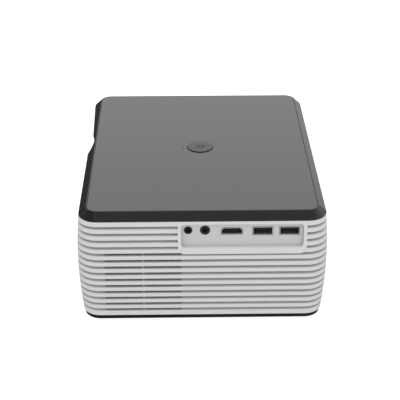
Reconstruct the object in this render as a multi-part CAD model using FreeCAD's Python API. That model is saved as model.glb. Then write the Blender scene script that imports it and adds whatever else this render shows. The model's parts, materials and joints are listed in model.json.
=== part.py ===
"""Portable projector with a slim disc drive: ribbed shell, bevelled lid, base and the works inside.

Frame: +Z up, origin on the table under the middle of the case. -X is the lens side, -Y the
socket side and +Y the side where the disc tray comes out. All sizes are in millimetres.
"""
import FreeCAD, Part
import math
import os

V = FreeCAD.Vector
X = V(1, 0, 0)
Y = V(0, 1, 0)
Z = V(0, 0, 1)

# ---- clearances -------------------------------------------------------------------------------
RUNNING = 0.05          # radial clearance of a shaft or sleeve that turns or slides
SEAT = 0.02             # radial clearance of a piece glued or pressed into its seat
GAP = 0.3               # air between pieces that move past each other
FIT = 0.15              # air round a fixed piece in its window

# ---- case -------------------------------------------------------------------------------------
LID_Y = 217.5           # lid, across the lens axis
CORNER_R = 13.3         # plan corner of the lid
FOOT_H = 2.5            # underside of the base above the table
BAND_H = 3.6            # visible black band of the base
BODY_H = 74.3           # white ribbed wall
LID_H = 5.6             # lid's edge to the top plate
LID_LIP_H = 0.6         # shadow line under the bevel
LID_LIP_INSET = 0.4
BEVEL_RUN = 5.33        # level width of the lid's bevel
PLATE_T = 1.6           # glossy top plate
LID_FLOOR_T = 1.6       # lid's web under the plate
LID_RIM = 0.5           # rim between the bevel and the plate's gap
LID_WALL = 6.5          # thickness of the lid's edge
SKIRT_T = 1.8           # locating skirt inside the wall
SKIRT_H = 3.0
WALL_INSET = 4.0        # inner wall face, in from the lid's edge
BULGE = 1.74            # the wall's barrel shape at its widest
BULGE_DROP = 33.4       # widest line below the lid's edge
BASE_INSET = 1.8
BASE_EDGE = 0.5
BASE_T = 2.2            # base floor

# ---- ribs and vents ---------------------------------------------------------------------------
RIB_PITCH = 5.0
GROOVE_H = 2.2
GROOVE_D = 2.6
GROOVE_SLOPE = 0.6      # height of a groove's sloping lower side
FIRST_GROOVE = 4.4      # first groove's middle below the lid's edge
VENT_H = 2.0
INTAKE_VENTS = (17.5, 43.0), (44.8, 70.0)       # slots in the socket side, in from the lid's edge
VENT_BRIDGE = 1.8       # bar between two slots of a row
VENT_ROW = 4            # first groove with slots, counted from the lid
SPEAKER_ROW = 5
VENT_LAP = 2.0          # slots' span inside a fan's frame or a speaker's edge

# ---- case screws, feet ------------------------------------------------------------------------
COLUMN_R = 4.2
COLUMN_IN = 9.5         # screw column in from the lid's edge
COLUMN_FOOT = 3.3       # base's screw boss above its floor
LID_BOSS_H = 6.8
SCREW_R = 1.5
SCREW_HEAD_R = 2.75
SCREW_ROOM = 0.2        # hole past the thread, all round
HEAD_ROOM = 0.3
HEAD_SUNK = 0.4         # head's top below the base's underside
SCREW_HEAD_H = 2.4
SCREW_GRIP = 4.0        # thread inside the lid's boss
FOOT_R = 7.0
FOOT_IN = 18.0          # rubber foot in from the lid's edge
FOOT_SUNK = 0.6

# ---- socket window ----------------------------------------------------------------------------
WINDOW_IN = 16.4        # window's end in from the lid's edge
WINDOW_W = 83.3
WINDOW_DROP = 2.1       # window's upper edge below the lid's edge
WINDOW_H = 17.5
WINDOW_R = 2.5
FRAME_SIDE = 2.4        # smooth frame round the window
FRAME_LOW = 4.6
FRAME_R = 5.0
FRAME_PROUD = 0.1       # frames' smooth face past the ribs
PANEL_DEPTH = 1.7       # panel's face behind the lid's edge
PANEL_T = 2.0
PANEL_FLANGE = 1.2
JACK_DROP = 7.3         # jack axes below the lid's edge
AUDIO_IN = 4.7          # jacks and HDMI socket in from the window's end
AUDIO_R = 2.85
VIDEO_IN = 16.2
VIDEO_R = 3.4
PLUG_R = 1.8            # bore for a 3.5 mm plug
JACK_DEPTH = 12.0
HDMI_IN = 34.5
HDMI_W = 15.0
HDMI_H = 5.6
HDMI_STAND = 0.4        # HDMI shell under its board
USB_IN = 27.8, 9.5      # USB sockets in from the window's other end
USB_W = 14.0
USB_H = 6.6
USB_TONGUE_T = 1.84
HDMI_TONGUE_T = 1.0
TONGUE_SETBACK = 1.5
SOCKET_DROP = 5.0       # underside of the port board below the lid's edge
SOCKET_DEPTH = 13.0
SHELL_T = 0.4
BOARD_T = 1.6
PORT_BOARD_Y = 24.0

# ---- lens side --------------------------------------------------------------------------------
LENS_Y = 16.5
LENS_UNDER = 0.6        # lens mount's neck under the disc drive
BAY_FOOT = 4.2          # wall left under the bay
BAY_FLOOR_OUT = 0.65    # bay's floor past the middle between ring and mouth
BAY_MOUTH = 4.0         # straight part of the bay's wall
BAY_DEPTH = 16.0        # bay floor behind the lid's edge
BAY_T = 1.6
BAY_RECESS = 0.3        # bay's rim behind the ribs
APRON_END_Y = 92.0
APRON_SETBACK = 2.9     # apron's face behind the lid's edge at the lens axis
APRON_FOOT = 2.2        # rib left under the apron
APRON_T = 1.8
IR_Y = 74.0
IR_DROP = 14.0
IR_R = 4.0
RING_R = 23.5
RING_FRONT = 5.0        # focus ring's face behind the lid's edge
RING_SCALLOPS = 30
SCALLOP_R = 0.9
MOUNT_R = 18.0
MOUNT_NECK_R = 15.4
MOUNT_FRONT = 11.0      # lens mount's nose behind the lid's edge
BARREL_R = 14.0
BARREL_WALL = 1.4
BARREL_FLANGE_R = 16.6
BARREL_FLANGE_T = 2.0
BARREL_OUT = 2.0        # barrel's face behind the lid's edge when it is run out
BARREL_L = 29.5
FOCUS_TRAVEL = 5.0
LENSES = (3.5, 3.0, 2.4, 0.6), (13.0, 2.5, 1.2, 1.2), (22.0, 3.0, 0.6, 2.2)
MOUNT_LENGTH = 26.0     # lens mount's sleeve
MOUNT_FLANGE = 44.0
MOUNT_FLANGE_T = 3.0

# ---- light path -------------------------------------------------------------------------------
TUNNEL_L = 80.0         # optical box along the lens axis
TUNNEL_W = 68.0
TUNNEL_H = 46.0
TUNNEL_WALL = 3.0
TUNNEL_LEG = 5.0        # side of a leg
PANEL_W = 60.0          # glass plates across
PANEL_H = 38.0
SLOT_BITE = 1.0         # plates let into the box's side walls
FRESNEL_AT = 40.0       # front faces of the plates behind the box's front
LCD_AT = 46.0
REAR_FRESNEL_AT = 53.0
HEAT_GLASS_AT = 60.0
CONDENSER_AT = 66.0
PLASTIC_LENS_T = 2.0
LCD_T = 2.4
GLASS_T = 1.1
CONDENSER_T = 3.0
CONDENSER_DOME = 5.0
CONDENSER_R = 17.0
LED_HOLE = 24.0
LED_BOARD = 40.0
LED_BOARD_T = 1.6
LED_CHIP = 20.0
LED_CHIP_T = 1.4
SINK_W = 46.0
SINK_BASE_T = 3.0
SINK_TO_FAN = 12.4
SINK_FINS = 12
SINK_FIN_T = 1.2

# ---- fans, boards, sound ----------------------------------------------------------------------
EXHAUST_SIZE = 50.0
EXHAUST_T = 15.0
EXHAUST_Z = 37.0
INTAKE_SIZE = 50.0
INTAKE_T = 10.0
INTAKE_IN = 43.8        # intake fan in from the lid's edge
INTAKE_Z = 32.0
FAN_WALL = 1.5
FAN_HUB_R = 11.0
FAN_BLADES = 7
FAN_BLADE_T = 1.2
FAN_STRUT = 3.0
SPEAKER_X = -25.0
SPEAKER_Z = 33.0
SPEAKER_R = 20.0
SPEAKER_T = 14.0
BOARD_LIFT = 4.3        # boards above the base floor
MAIN_BOARD_IN = 15.0, 25.0                  # board's ends in from the lid's edges
MAIN_BOARD_Y = -90.0, -30.0
POWER_BOARD_W = 62.0
POWER_BOARD_IN = 37.0
POWER_BOARD_Y = 54.0, 90.0
POST_IN = 5.0           # board posts in from the boards' edges
POST_R = 2.5
CHIP = 28.0             # processor
CHIP_T = 2.0
COOLER = 26.0
COOLER_H = 7.0
COOLER_FINS = 7
COOLER_FIN_T = 1.0
MEMORY_X = 24.0, 38.0
MEMORY_Y = (-5.0, 5.0), (10.0, 20.0)        # from the board's middle
MEMORY_T = 1.2
HEADER_X = 2.0, 12.0    # connector in from the board's end
HEADER_Y = 14.0, 40.0
HEADER_H = 8.0
CAN_R = 3.0
CAN_H = 8.0
CAN_IN = 12.0
CAN_PITCH = 9.0
COIL_X = 14.0, 38.0     # transformer from the power board's corner
COIL_Y = 8.0, 28.0
COIL_H = 20.0
BULK_R = 8.0            # large capacitor
BULK_H = 25.0
BULK_X = 10.0
BULK_Y = 12.0
BLOCK_IN = 2.0, 12.0    # terminal block in from the corner
BLOCK_Y = 3.0, 13.0
BLOCK_H = 9.0
INLET_Y = 80.0
INLET_Z = 20.0
INLET_W = 21.0
INLET_H = 11.0
INLET_DEPTH = 20.0
INLET_HOLE_W = 16.0
INLET_HOLE_H = 7.6
INLET_HOLE_D = 12.0
PIN_SPACING = 8.6
PIN_R = 1.18

# ---- power button -----------------------------------------------------------------------------
BUTTON_R = 9.5
BUTTON_GAP = 0.3
BUTTON_RISE = 0.6
BUTTON_TRAVEL = 0.8
BUTTON_FLANGE_R = 11.5
BUTTON_FLANGE_T = 1.3
SWITCH_H = 1.8
SWITCH_W = 6.0
KEY_BOARD_X = 20.0
KEY_BOARD_Y = 10.0
KEY_BOARD_T = 1.2
KEY_BOSS_X = 16.5
KEY_BOSS_R = 2.5
LIGHT_X = -12.9
LIGHT_R = 0.5
SYMBOL_R = 2.6
SYMBOL_LINE = 0.5
SYMBOL_T = 0.2
SYMBOL_GAP = 35.0       # half angle left open for the bar, in degrees

# ---- disc drive -------------------------------------------------------------------------------
DRIVE_W = 128.0
DRIVE_L = 130.0
DRIVE_IN = 21.0         # drive's sides in from the lid's edges
DRIVE_FRONT_GAP = 0.4   # drive behind its bezel
DRIVE_POST_R = 3.5
DRIVE_POST_X = 8.0      # drive's posts in from its corners
DRIVE_POST_Y = 10.0, 8.0
DRIVE_H = 12.7
DRIVE_DROP = 6.6        # drive's cover below the lid's web
SHEET = 0.8
BEZEL_OUT = 0.65        # bezel's face past the lid's edge
BEZEL_T = 3.0
BEZEL_LAP = 0.3         # bezel past the drive, all round
RAIL_T = 1.4
RAIL_H = 4.0
TRAY_TOP_GAP = 0.8
TRAY_REAR_GAP = 1.7     # tray's rear end to the drive's rear wall
DISC_R = 60.0
DISC_ROOM = 0.4         # recess past the disc, all round
RECESS_TO_BEZEL = 1.5
RECESS_FLOOR = 6.6      # recess floor above the chassis floor
PLATE_LIFT = 0.4
TRAVERSE_T = 1.0
HUB_R = 13.0
HUB_SEAT_R = 15.0
HUB_NOSE_R = 7.4
HUB_SEAT_T = 0.8
HUB_NOSE_H = 2.0
DISC_LIFT = 0.9         # disc's seat above the recess floor
HUB_ROOM = 3.0          # tray's hole past the disc's seat
TRAY_WINDOW_SIDE = 4.5  # tray's window past the rod and the screw
MOTOR_R = 12.0
MOTOR_H = 3.0
SHAFT_R = 1.0
SLED_TRAVEL = 30.0
SLED_L = 14.0
SLED_FROM_HUB = 24.0    # pickup lens to spindle, innermost
ROD_R = 1.5
ROD_X = 20.0
ROD_LIFT = 2.6          # rods' axes above the traverse plate
ROD_POST = 5.0
ROD_POST_T = 2.0
ROD_POST_RISE = 2.2
ROD_END_GAP = 0.5       # sled to the rod posts at its ends
SCREW_X = 27.5
LEAD_R = 1.2
SLED_SIDE = 3.0
SLED_RISE = 2.1
TURRET_R = 5.0
TURRET_H = 3.0
PICKUP_R = 2.2
PICKUP_H = 0.5
TRAVERSE_SIDE = 8.0     # traverse plate past the rod and the screw
TRAVERSE_END = 20.0     # traverse plate past the spindle
SLED_MOTOR_W = 7.6
SLED_MOTOR_L = 9.0
SLED_MOTOR_H = 4.8
EJECT_IN = 20.0         # eject button in from the drive's side
EJECT_W = 12.0
EJECT_H = 4.0
EJECT_TRAVEL = 1.0
EJECT_RISE = 0.4
EJECT_FLANGE = 0.6
EJECT_FLANGE_T = 1.2
PINHOLE_IN = 34.0
PINHOLE_R = 0.6

# ---- adjusting foot ---------------------------------------------------------------------------
ADJUST_IN = 25.0        # foot in from the lid's edge
ADJUST_PAD_R = 7.0
ADJUST_PAD_T = 1.9
ADJUST_R = 3.0
ADJUST_TRAVEL = 10.0
ADJUST_BOSS_R = 5.5
ADJUST_BOSS_H = 9.0
STOP_RING_T = 1.0

# ---- places worked out from the sizes ---------------------------------------------------------
LID_X = DRIVE_W + 2 * DRIVE_IN
HALF_X = LID_X / 2
HALF_Y = LID_Y / 2
BODY_Z = FOOT_H + BAND_H
LID_Z = BODY_Z + BODY_H
TOP_Z = LID_Z + LID_H
PLATE_Z = TOP_Z - PLATE_T
WEB_Z = PLATE_Z - LID_FLOOR_T
WIDEST_Z = LID_Z - BULGE_DROP
FLOOR_Z = FOOT_H + BASE_T
IN_X = HALF_X - WALL_INSET
IN_Y = HALF_Y - WALL_INSET
COLUMN_FOOT_Z = FLOOR_Z + COLUMN_FOOT
COLUMN_TOP_Z = WEB_Z - LID_BOSS_H
BOARD_Z = FLOOR_Z + BOARD_LIFT
KEY_BOARD_DROP = GAP + BUTTON_FLANGE_T + BUTTON_TRAVEL + SWITCH_H
KEY_BOARD_Z = WEB_Z - KEY_BOARD_DROP
PORT_BOARD_Z = LID_Z - SOCKET_DROP
JACK_Z = LID_Z - JACK_DROP
PANEL_Y = -HALF_Y + PANEL_DEPTH
DRIVE_TOP = WEB_Z - DRIVE_DROP
DRIVE_Z = DRIVE_TOP - DRIVE_H
DRIVE_FLOOR = DRIVE_Z + SHEET
BEZEL_Y = HALF_Y + BEZEL_OUT - BEZEL_T
DRIVE_Y1 = BEZEL_Y - DRIVE_FRONT_GAP
DRIVE_Y0 = DRIVE_Y1 - DRIVE_L
TRAY_Y0 = DRIVE_Y0 + SHEET + TRAY_REAR_GAP
RECESS_R = DISC_R + DISC_ROOM
LENS_Z = DRIVE_Z - LENS_UNDER - MOUNT_NECK_R
BAY_R = LENS_Z - BODY_Z - BAY_FOOT
BAY_FLOOR_R = (BAY_R + RING_R) / 2 + BAY_FLOOR_OUT
BARREL_FRONT = BARREL_OUT + FOCUS_TRAVEL
GROOVES = int((BODY_H - FIRST_GROOVE) / RIB_PITCH) + 1
WINDOW_X1 = HALF_X - WINDOW_IN
WINDOW_X0 = WINDOW_X1 - WINDOW_W
AUDIO_X = WINDOW_X0 + AUDIO_IN
VIDEO_X = WINDOW_X0 + VIDEO_IN
HDMI_X = WINDOW_X0 + HDMI_IN
USB_X = [WINDOW_X1 - inset for inset in USB_IN]
INTAKE_X = -HALF_X + INTAKE_IN
ADJUST_X = -HALF_X + ADJUST_IN
MAIN_BOARD = -HALF_X + MAIN_BOARD_IN[0], HALF_X - MAIN_BOARD_IN[1], *MAIN_BOARD_Y
POWER_BOARD = HALF_X - POWER_BOARD_IN - POWER_BOARD_W, HALF_X - POWER_BOARD_IN, *POWER_BOARD_Y
EJECT_X = DRIVE_W / 2 - EJECT_IN
PINHOLE_X = DRIVE_W / 2 - PINHOLE_IN


# ---- small helpers ----------------------------------------------------------------------------
def box(x0, x1, y0, y1, z0, z1):
    """Block between the given limits."""
    return Part.makeBox(x1 - x0, y1 - y0, z1 - z0, V(x0, y0, z0))


def rod(radius, start, axis, length):
    """Round bar from a start point."""
    return Part.makeCylinder(radius, length, start, axis)


def tube(outer, inner, start, axis, length):
    """Round tube from a start point."""
    return rod(outer, start, axis, length).cut(rod(inner, start, axis, length))


def rounded(block, radius, axis):
    """Block with its edges along one axis rounded."""
    edges = [edge for edge in block.Edges if abs(edge.tangentAt(edge.FirstParameter).dot(axis)) > 0.999]
    return block.makeFillet(radius, edges)


def plan_block(inset, z0, z1):
    """Upright block of the lid's plan, set in by some amount."""
    block = box(-HALF_X + inset, HALF_X - inset, -HALF_Y + inset, HALF_Y - inset, z0, z1)
    return rounded(block, max(CORNER_R - inset, 1.0), Z)


def plan_wire(inset, z):
    """Outline of the lid's plan at a height."""
    block = plan_block(inset, z - 1, z)
    top = max(block.Faces, key=lambda face: face.CenterOfMass.z)
    return top.OuterWire


def lathe(points, centre, axis, outward):
    """Solid of revolution; points are (distance along the axis, radius)."""
    corners = [centre + axis * along + outward * radius for along, radius in points]
    face = Part.Face(Part.makePolygon(corners + corners[:1]))
    return face.revolve(centre, axis, 360)


def joined(pieces):
    """One solid from pieces that meet or overlap."""
    return pieces[0].multiFuse(pieces[1:]).removeSplitter()


def mirrored(points_x, points_y):
    """All four sign combinations of a place in plan."""
    return [(x, y) for x in (-points_x, points_x) for y in (-points_y, points_y)]


# ---- case -------------------------------------------------------------------------------------
def wall_offset(z):
    """How far the ribs stand out past the lid's edge at a height."""
    return BULGE * (1 - ((z - WIDEST_Z) / BULGE_DROP) ** 2)


def groove_top(row):
    """Upper side of a groove, counted down from the lid."""
    return LID_Z - FIRST_GROOVE - row * RIB_PITCH + GROOVE_H / 2


def ribbed_outline():
    """Section of the wall as (outset from the lid's edge, z)."""
    points = [(-WALL_INSET, BODY_Z), (wall_offset(BODY_Z), BODY_Z)]
    for row in reversed(range(GROOVES)):
        high = groove_top(row)
        low = high - GROOVE_H
        floor = wall_offset(high) - GROOVE_D
        points += [(wall_offset(low), low), (floor, low + GROOVE_SLOPE), (floor, high), (wall_offset(high), high)]
    return points + [(wall_offset(LID_Z), LID_Z), (-WALL_INSET, LID_Z)]


def swept_wall(outline):
    """Wall section carried round the rounded plan."""
    flat_x = HALF_X - CORNER_R
    flat_y = HALF_Y - CORNER_R
    corners = [V(CORNER_R + outset, 0, z) for outset, z in outline]
    section = Part.Face(Part.makePolygon(corners + corners[:1]))
    quarter = section.revolve(V(0, 0, 0), Z, 90)
    centres = [V(flat_x, flat_y, 0), V(-flat_x, flat_y, 0), V(-flat_x, -flat_y, 0), V(flat_x, -flat_y, 0)]
    pieces = []
    for turn, centre in enumerate(centres):
        before = centres[turn - 1]
        straight = section.extrude(Y * before.distanceToPoint(centre))
        for piece, place in ((quarter.copy(), centre), (straight, before)):
            piece.rotate(V(0, 0, 0), Z, 90 * turn)
            piece.translate(place)
            pieces.append(piece)
    return joined(pieces)


def smooth_face(z0, z1, outset, depth):
    """Section of the wall without its grooves, for a wall that looks along +X."""
    middle = (z0 + z1) / 2
    points = [V(HALF_X + wall_offset(z) + outset, 0, z) for z in (z0, middle, z1)]
    back = [V(HALF_X - depth, 0, z1), V(HALF_X - depth, 0, z0)]
    edges = [Part.Arc(*points).toShape(), Part.makeLine(points[2], back[0])]
    edges += [Part.makeLine(back[0], back[1]), Part.makeLine(back[1], points[0])]
    return Part.Face(Part.Wire(edges))


def window_frame():
    """Smooth frame that stops the ribs round the socket window."""
    low = LID_Z - WINDOW_DROP - WINDOW_H - FRAME_LOW
    x0 = WINDOW_X0 - FRAME_SIDE
    x1 = WINDOW_X1 + FRAME_SIDE
    prism = smooth_face(low, LID_Z, FRAME_PROUD, WALL_INSET).extrude(V(0, x1 - x0, 0))
    prism.rotate(V(0, 0, 0), Z, -90)
    prism.translate(V(x0, -(HALF_Y - HALF_X), 0))
    outline = rounded(box(x0, x1, -HALF_Y - 5, -IN_Y, low, LID_Z + FRAME_R), FRAME_R, Y)
    return prism.common(outline)


def window_block(grow, y0, y1):
    """Block along Y with the socket window's outline, grown all round."""
    high = LID_Z - WINDOW_DROP
    block = box(WINDOW_X0 - grow, WINDOW_X1 + grow, y0, y1, high - WINDOW_H - grow, high + grow)
    return rounded(block, WINDOW_R, Y)


def vent_slots(rows, spans, wall):
    """Slots through the grooves of a wall that looks along -Y (wall -1) or +Y (wall 1)."""
    y0, y1 = sorted((wall * (IN_Y - 1), wall * (HALF_Y + BULGE + 1)))
    return [box(x0, x1, y0, y1, groove_top(row) - VENT_H, groove_top(row)) for row in rows for x0, x1 in spans]


def split_span(middle, width):
    """Two slots side by side with a bar between them."""
    return (middle - width / 2, middle - VENT_BRIDGE / 2), (middle + VENT_BRIDGE / 2, middle + width / 2)


def exhaust_slots():
    """Slots in front of the exhaust fan, through the rear wall."""
    spans = split_span(LENS_Y, EXHAUST_SIZE - VENT_LAP)
    x1 = HALF_X + BULGE + 1
    return [box(IN_X - 1, x1, y0, y1, groove_top(row) - VENT_H, groove_top(row))
            for row in range(VENT_ROW, GROOVES - 1) for y0, y1 in spans]


def column_places():
    """Screw columns in plan."""
    return mirrored(HALF_X - COLUMN_IN, HALF_Y - COLUMN_IN)


def bay_points(grow):
    """Inner wall of the lens bay as (distance behind the lid's edge, radius), grown outwards."""
    return [(-BULGE - 1, BAY_R + grow), (BAY_MOUTH, BAY_R + grow), (BAY_DEPTH, BAY_FLOOR_R + grow)]


def bay_solid(grow, deeper):
    """Everything inside the lens bay."""
    points = bay_points(grow)
    points[-1] = (BAY_DEPTH + deeper, BAY_FLOOR_R + grow)
    points = [(points[0][0], 0)] + points + [(points[-1][0], 0)]
    return lathe(points, V(-HALF_X, LENS_Y, LENS_Z), X, Z)


def apron_x(y):
    """Face of the apron beside the bay, which meets the lid's edge at its far end."""
    return -HALF_X + APRON_SETBACK * (APRON_END_Y - y) / (APRON_END_Y - LENS_Y)


def apron_block(front, back, z0, z1):
    """Upright slab along the apron's face, between two depths behind it."""
    ends = (LENS_Y, APRON_END_Y)
    outline = [V(apron_x(y) + front, y, z0) for y in ends] + [V(apron_x(y) + back, y, z0) for y in reversed(ends)]
    return Part.Face(Part.makePolygon(outline + outline[:1])).extrude(Z * (z1 - z0))


def drive_window():
    """Opening in the wall for the tray's bezel."""
    half = DRIVE_W / 2 + BEZEL_LAP + GAP
    lap = BEZEL_LAP + GAP
    return box(-half, half, IN_Y - 1, HALF_Y + BULGE + 1, DRIVE_Z - lap, DRIVE_TOP + lap)


def drive_frame():
    """Smooth band of wall round the bezel, which stops the ribs."""
    half = DRIVE_W / 2 + BEZEL_LAP + GAP + FRAME_SIDE
    lap = BEZEL_LAP + GAP + FRAME_SIDE
    prism = smooth_face(DRIVE_Z - lap, DRIVE_TOP + lap, FRAME_PROUD, WALL_INSET).extrude(Y * (2 * half))
    prism.rotate(V(0, 0, 0), Z, 90)
    prism.translate(V(half, HALF_Y - HALF_X, 0))
    return prism


def inlet_hole():
    """Opening in the rear wall for the mains inlet."""
    return box(IN_X - 1, HALF_X + BULGE + 1, INLET_Y - INLET_W / 2 - FIT, INLET_Y + INLET_W / 2 + FIT,
               INLET_Z - INLET_H / 2 - FIT, INLET_Z + INLET_H / 2 + FIT)


def body_shell():
    """White ribbed wall with its screw columns and openings."""
    wall = swept_wall(ribbed_outline())
    columns = [rod(COLUMN_R, V(x, y, COLUMN_FOOT_Z), Z, COLUMN_TOP_Z - COLUMN_FOOT_Z) for x, y in column_places()]
    shell = joined([wall, window_frame(), drive_frame()] + columns)
    openings = [window_block(0, -HALF_Y - 5, -IN_Y + 1), drive_window(), inlet_hole()]
    intake = [(-HALF_X + start, -HALF_X + end) for start, end in INTAKE_VENTS]
    openings += vent_slots(range(VENT_ROW, GROOVES), intake, -1)
    openings += vent_slots(range(SPEAKER_ROW, GROOVES - 2), split_span(SPEAKER_X, 2 * (SPEAKER_R - VENT_LAP)), 1)
    openings += exhaust_slots()
    openings += [rod(SCREW_R + SCREW_ROOM, V(x, y, 0), Z, TOP_Z) for x, y in column_places()]
    openings += [bay_solid(BAY_T + FIT, 0), apron_block(-5, 5, BODY_Z + APRON_FOOT, LID_Z + 1)]
    return shell.cut(Part.makeCompound(openings))


def lid_blank():
    """Lid's lip, bevel and web before the lens bay is cut."""
    lip = plan_block(LID_LIP_INSET, LID_Z, LID_Z + LID_LIP_H)
    bevel = Part.makeLoft([plan_wire(0, LID_Z + LID_LIP_H), plan_wire(BEVEL_RUN, TOP_Z)], True, True)
    seat = plan_block(BEVEL_RUN + LID_RIM, PLATE_Z, TOP_Z + 1)
    hollow = plan_block(LID_WALL, LID_Z - 1, WEB_Z)
    return joined([lip, bevel]).cut(seat).cut(hollow)


def lid_skirt():
    """Locating skirt inside the wall, open behind the socket window and the lens bay."""
    inset = WALL_INSET + FIT
    skirt = plan_block(inset, LID_Z - SKIRT_H, LID_Z).cut(plan_block(inset + SKIRT_T, LID_Z - SKIRT_H, LID_Z))
    window = box(WINDOW_X0 - 6, WINDOW_X1 + 6, -HALF_Y, 0, LID_Z - SKIRT_H, LID_Z)
    return skirt.cut(window).cut(bay_solid(BAY_T + FIT, 0)).cut(apron_block(-5, 8, 0, LID_Z))


def lid_frame():
    """Black lid with its bosses for the case screws and the key board."""
    places = column_places()
    inside = plan_block(WALL_INSET + FIT, COLUMN_TOP_Z, PLATE_Z)
    bosses = [rod(COLUMN_R, V(x, y, COLUMN_TOP_Z), Z, LID_BOSS_H).common(inside) for x, y in places]
    bosses += [rod(KEY_BOSS_R, V(x, 0, KEY_BOARD_Z), Z, KEY_BOARD_DROP) for x in (-KEY_BOSS_X, KEY_BOSS_X)]
    lid = joined([lid_blank(), lid_skirt()] + bosses)
    depth = LID_BOSS_H - 1
    holes = [rod(SCREW_R + SEAT, V(x, y, COLUMN_TOP_Z), Z, depth) for x, y in places]
    holes += [bay_solid(0, 0), apron_block(-5, 0, LID_Z - 1, TOP_Z + 1)]
    holes += [rod(BUTTON_R + BUTTON_GAP, V(0, 0, WEB_Z - 1), Z, 5), light_bore()]
    return lid.cut(Part.makeCompound(holes))


def light_bore():
    """Bore of the status light through the plate and the lid's web."""
    return rod(LIGHT_R + SEAT, V(LIGHT_X, 0, WEB_Z - 1), Z, TOP_Z - WEB_Z + 2)


def top_plate():
    """Glossy plate let into the lid."""
    plate = plan_block(BEVEL_RUN + LID_RIM + GAP, PLATE_Z, TOP_Z)
    return plate.cut(rod(BUTTON_R + BUTTON_GAP, V(0, 0, PLATE_Z - 1), Z, 5)).cut(light_bore())


def foot_places():
    """Rubber feet in plan."""
    return mirrored(HALF_X - FOOT_IN, HALF_Y - FOOT_IN)


def adjust_boss():
    """Boss that carries the adjusting foot's thread."""
    return rod(ADJUST_BOSS_R, V(ADJUST_X, LENS_Y, FLOOR_Z), Z, ADJUST_BOSS_H)


def base_cover():
    """Black base with its rim, posts and screw bosses."""
    slab = plan_block(BASE_INSET, FOOT_H, BODY_Z)
    low_edges = [edge for edge in slab.Edges if max(vertex.Z for vertex in edge.Vertexes) < FOOT_H + 0.01]
    slab = slab.makeChamfer(BASE_EDGE, low_edges).cut(plan_block(WALL_INSET + FIT + SKIRT_T, FLOOR_Z, BODY_Z))
    lip = plan_block(WALL_INSET + FIT, BODY_Z, BODY_Z + SKIRT_H)
    lip = lip.cut(plan_block(WALL_INSET + FIT + SKIRT_T, BODY_Z, BODY_Z + SKIRT_H))
    fan = INTAKE_SIZE / 2 + GAP
    clear = [rod(COLUMN_R + FIT, V(x, y, 0), Z, LID_Z) for x, y in column_places()]
    clear += [bay_solid(BAY_T + FIT, 0), apron_block(-5, 8, 0, LID_Z)]
    clear.append(box(INTAKE_X - fan, INTAKE_X + fan, -HALF_Y, 0, INTAKE_Z - fan, LID_Z))
    lip = lip.cut(Part.makeCompound(clear))
    inside = plan_block(WALL_INSET + FIT, FLOOR_Z, BODY_Z + SKIRT_H)
    bosses = [rod(COLUMN_R, V(x, y, FLOOR_Z), Z, COLUMN_FOOT).common(inside) for x, y in column_places()]
    posts = [rod(POST_R, V(x, y, FLOOR_Z), Z, BOARD_LIFT) for x, y in board_posts()]
    base = joined([slab, lip, adjust_boss()] + bosses + posts)
    holes = []
    for x, y in column_places():
        holes.append(rod(SCREW_R + SCREW_ROOM, V(x, y, 0), Z, COLUMN_FOOT_Z + 1))
        holes.append(rod(SCREW_HEAD_R + HEAD_ROOM, V(x, y, 0), Z, FOOT_H + SCREW_HEAD_H + HEAD_SUNK))
    holes += [rod(FOOT_R + SEAT, V(x, y, 0), Z, FOOT_H + FOOT_SUNK) for x, y in foot_places()]
    holes.append(rod(ADJUST_R + RUNNING, V(ADJUST_X, LENS_Y, 0), Z, LID_Z / 2))
    return base.cut(Part.makeCompound(holes))


def rubber_feet():
    """Four feet let into the base."""
    feet = []
    for x, y in foot_places():
        foot = rod(FOOT_R, V(x, y, 0), Z, FOOT_H + FOOT_SUNK)
        feet.append(foot.makeFillet(0.6, [foot.Edges[i] for i in range(3) if foot.Edges[i].BoundBox.ZMax < 0.01]))
    return Part.makeCompound(feet)


def case_screws():
    """Long screws from the base through the columns into the lid."""
    head_top = FOOT_H + SCREW_HEAD_H + HEAD_SUNK
    screws = []
    for x, y in column_places():
        shank = rod(SCREW_R, V(x, y, head_top), Z, COLUMN_TOP_Z + SCREW_GRIP - head_top)
        head = rod(SCREW_HEAD_R, V(x, y, head_top - SCREW_HEAD_H), Z, SCREW_HEAD_H)
        cross = [box(x - 1.6, x + 1.6, y - 0.35, y + 0.35, 0, head_top - 1.2),
                 box(x - 0.35, x + 0.35, y - 1.6, y + 1.6, 0, head_top - 1.2)]
        screws.append(joined([shank, head]).cut(Part.makeCompound(cross)))
    return Part.makeCompound(screws)


def adjust_foot():
    """Threaded foot under the lens."""
    pad = rod(ADJUST_PAD_R, V(ADJUST_X, LENS_Y, GAP), Z, ADJUST_PAD_T)
    top = FLOOR_Z + ADJUST_BOSS_H + ADJUST_TRAVEL + STOP_RING_T + 1.5
    grips = [rod(1.0, V(ADJUST_X + ADJUST_PAD_R * math.cos(math.radians(turn)),
                        LENS_Y + ADJUST_PAD_R * math.sin(math.radians(turn)), 0), Z, 5)
             for turn in range(0, 360, 20)]
    return joined([pad.cut(Part.makeCompound(grips)), rod(ADJUST_R, V(ADJUST_X, LENS_Y, GAP), Z, top - GAP)])


def foot_stop_ring():
    """Clip on the foot's thread that stops it from unscrewing."""
    z = FLOOR_Z + ADJUST_BOSS_H + ADJUST_TRAVEL + GAP
    return tube(ADJUST_R + 1.6, ADJUST_R + RUNNING, V(ADJUST_X, LENS_Y, z), Z, STOP_RING_T)


def board_posts():
    """Posts under the two circuit boards."""
    posts = []
    for x0, x1, y0, y1 in (MAIN_BOARD, POWER_BOARD):
        posts += [(x, y) for x in (x0 + POST_IN, x1 - POST_IN) for y in (y0 + POST_IN, y1 - POST_IN)]
    return posts


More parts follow.
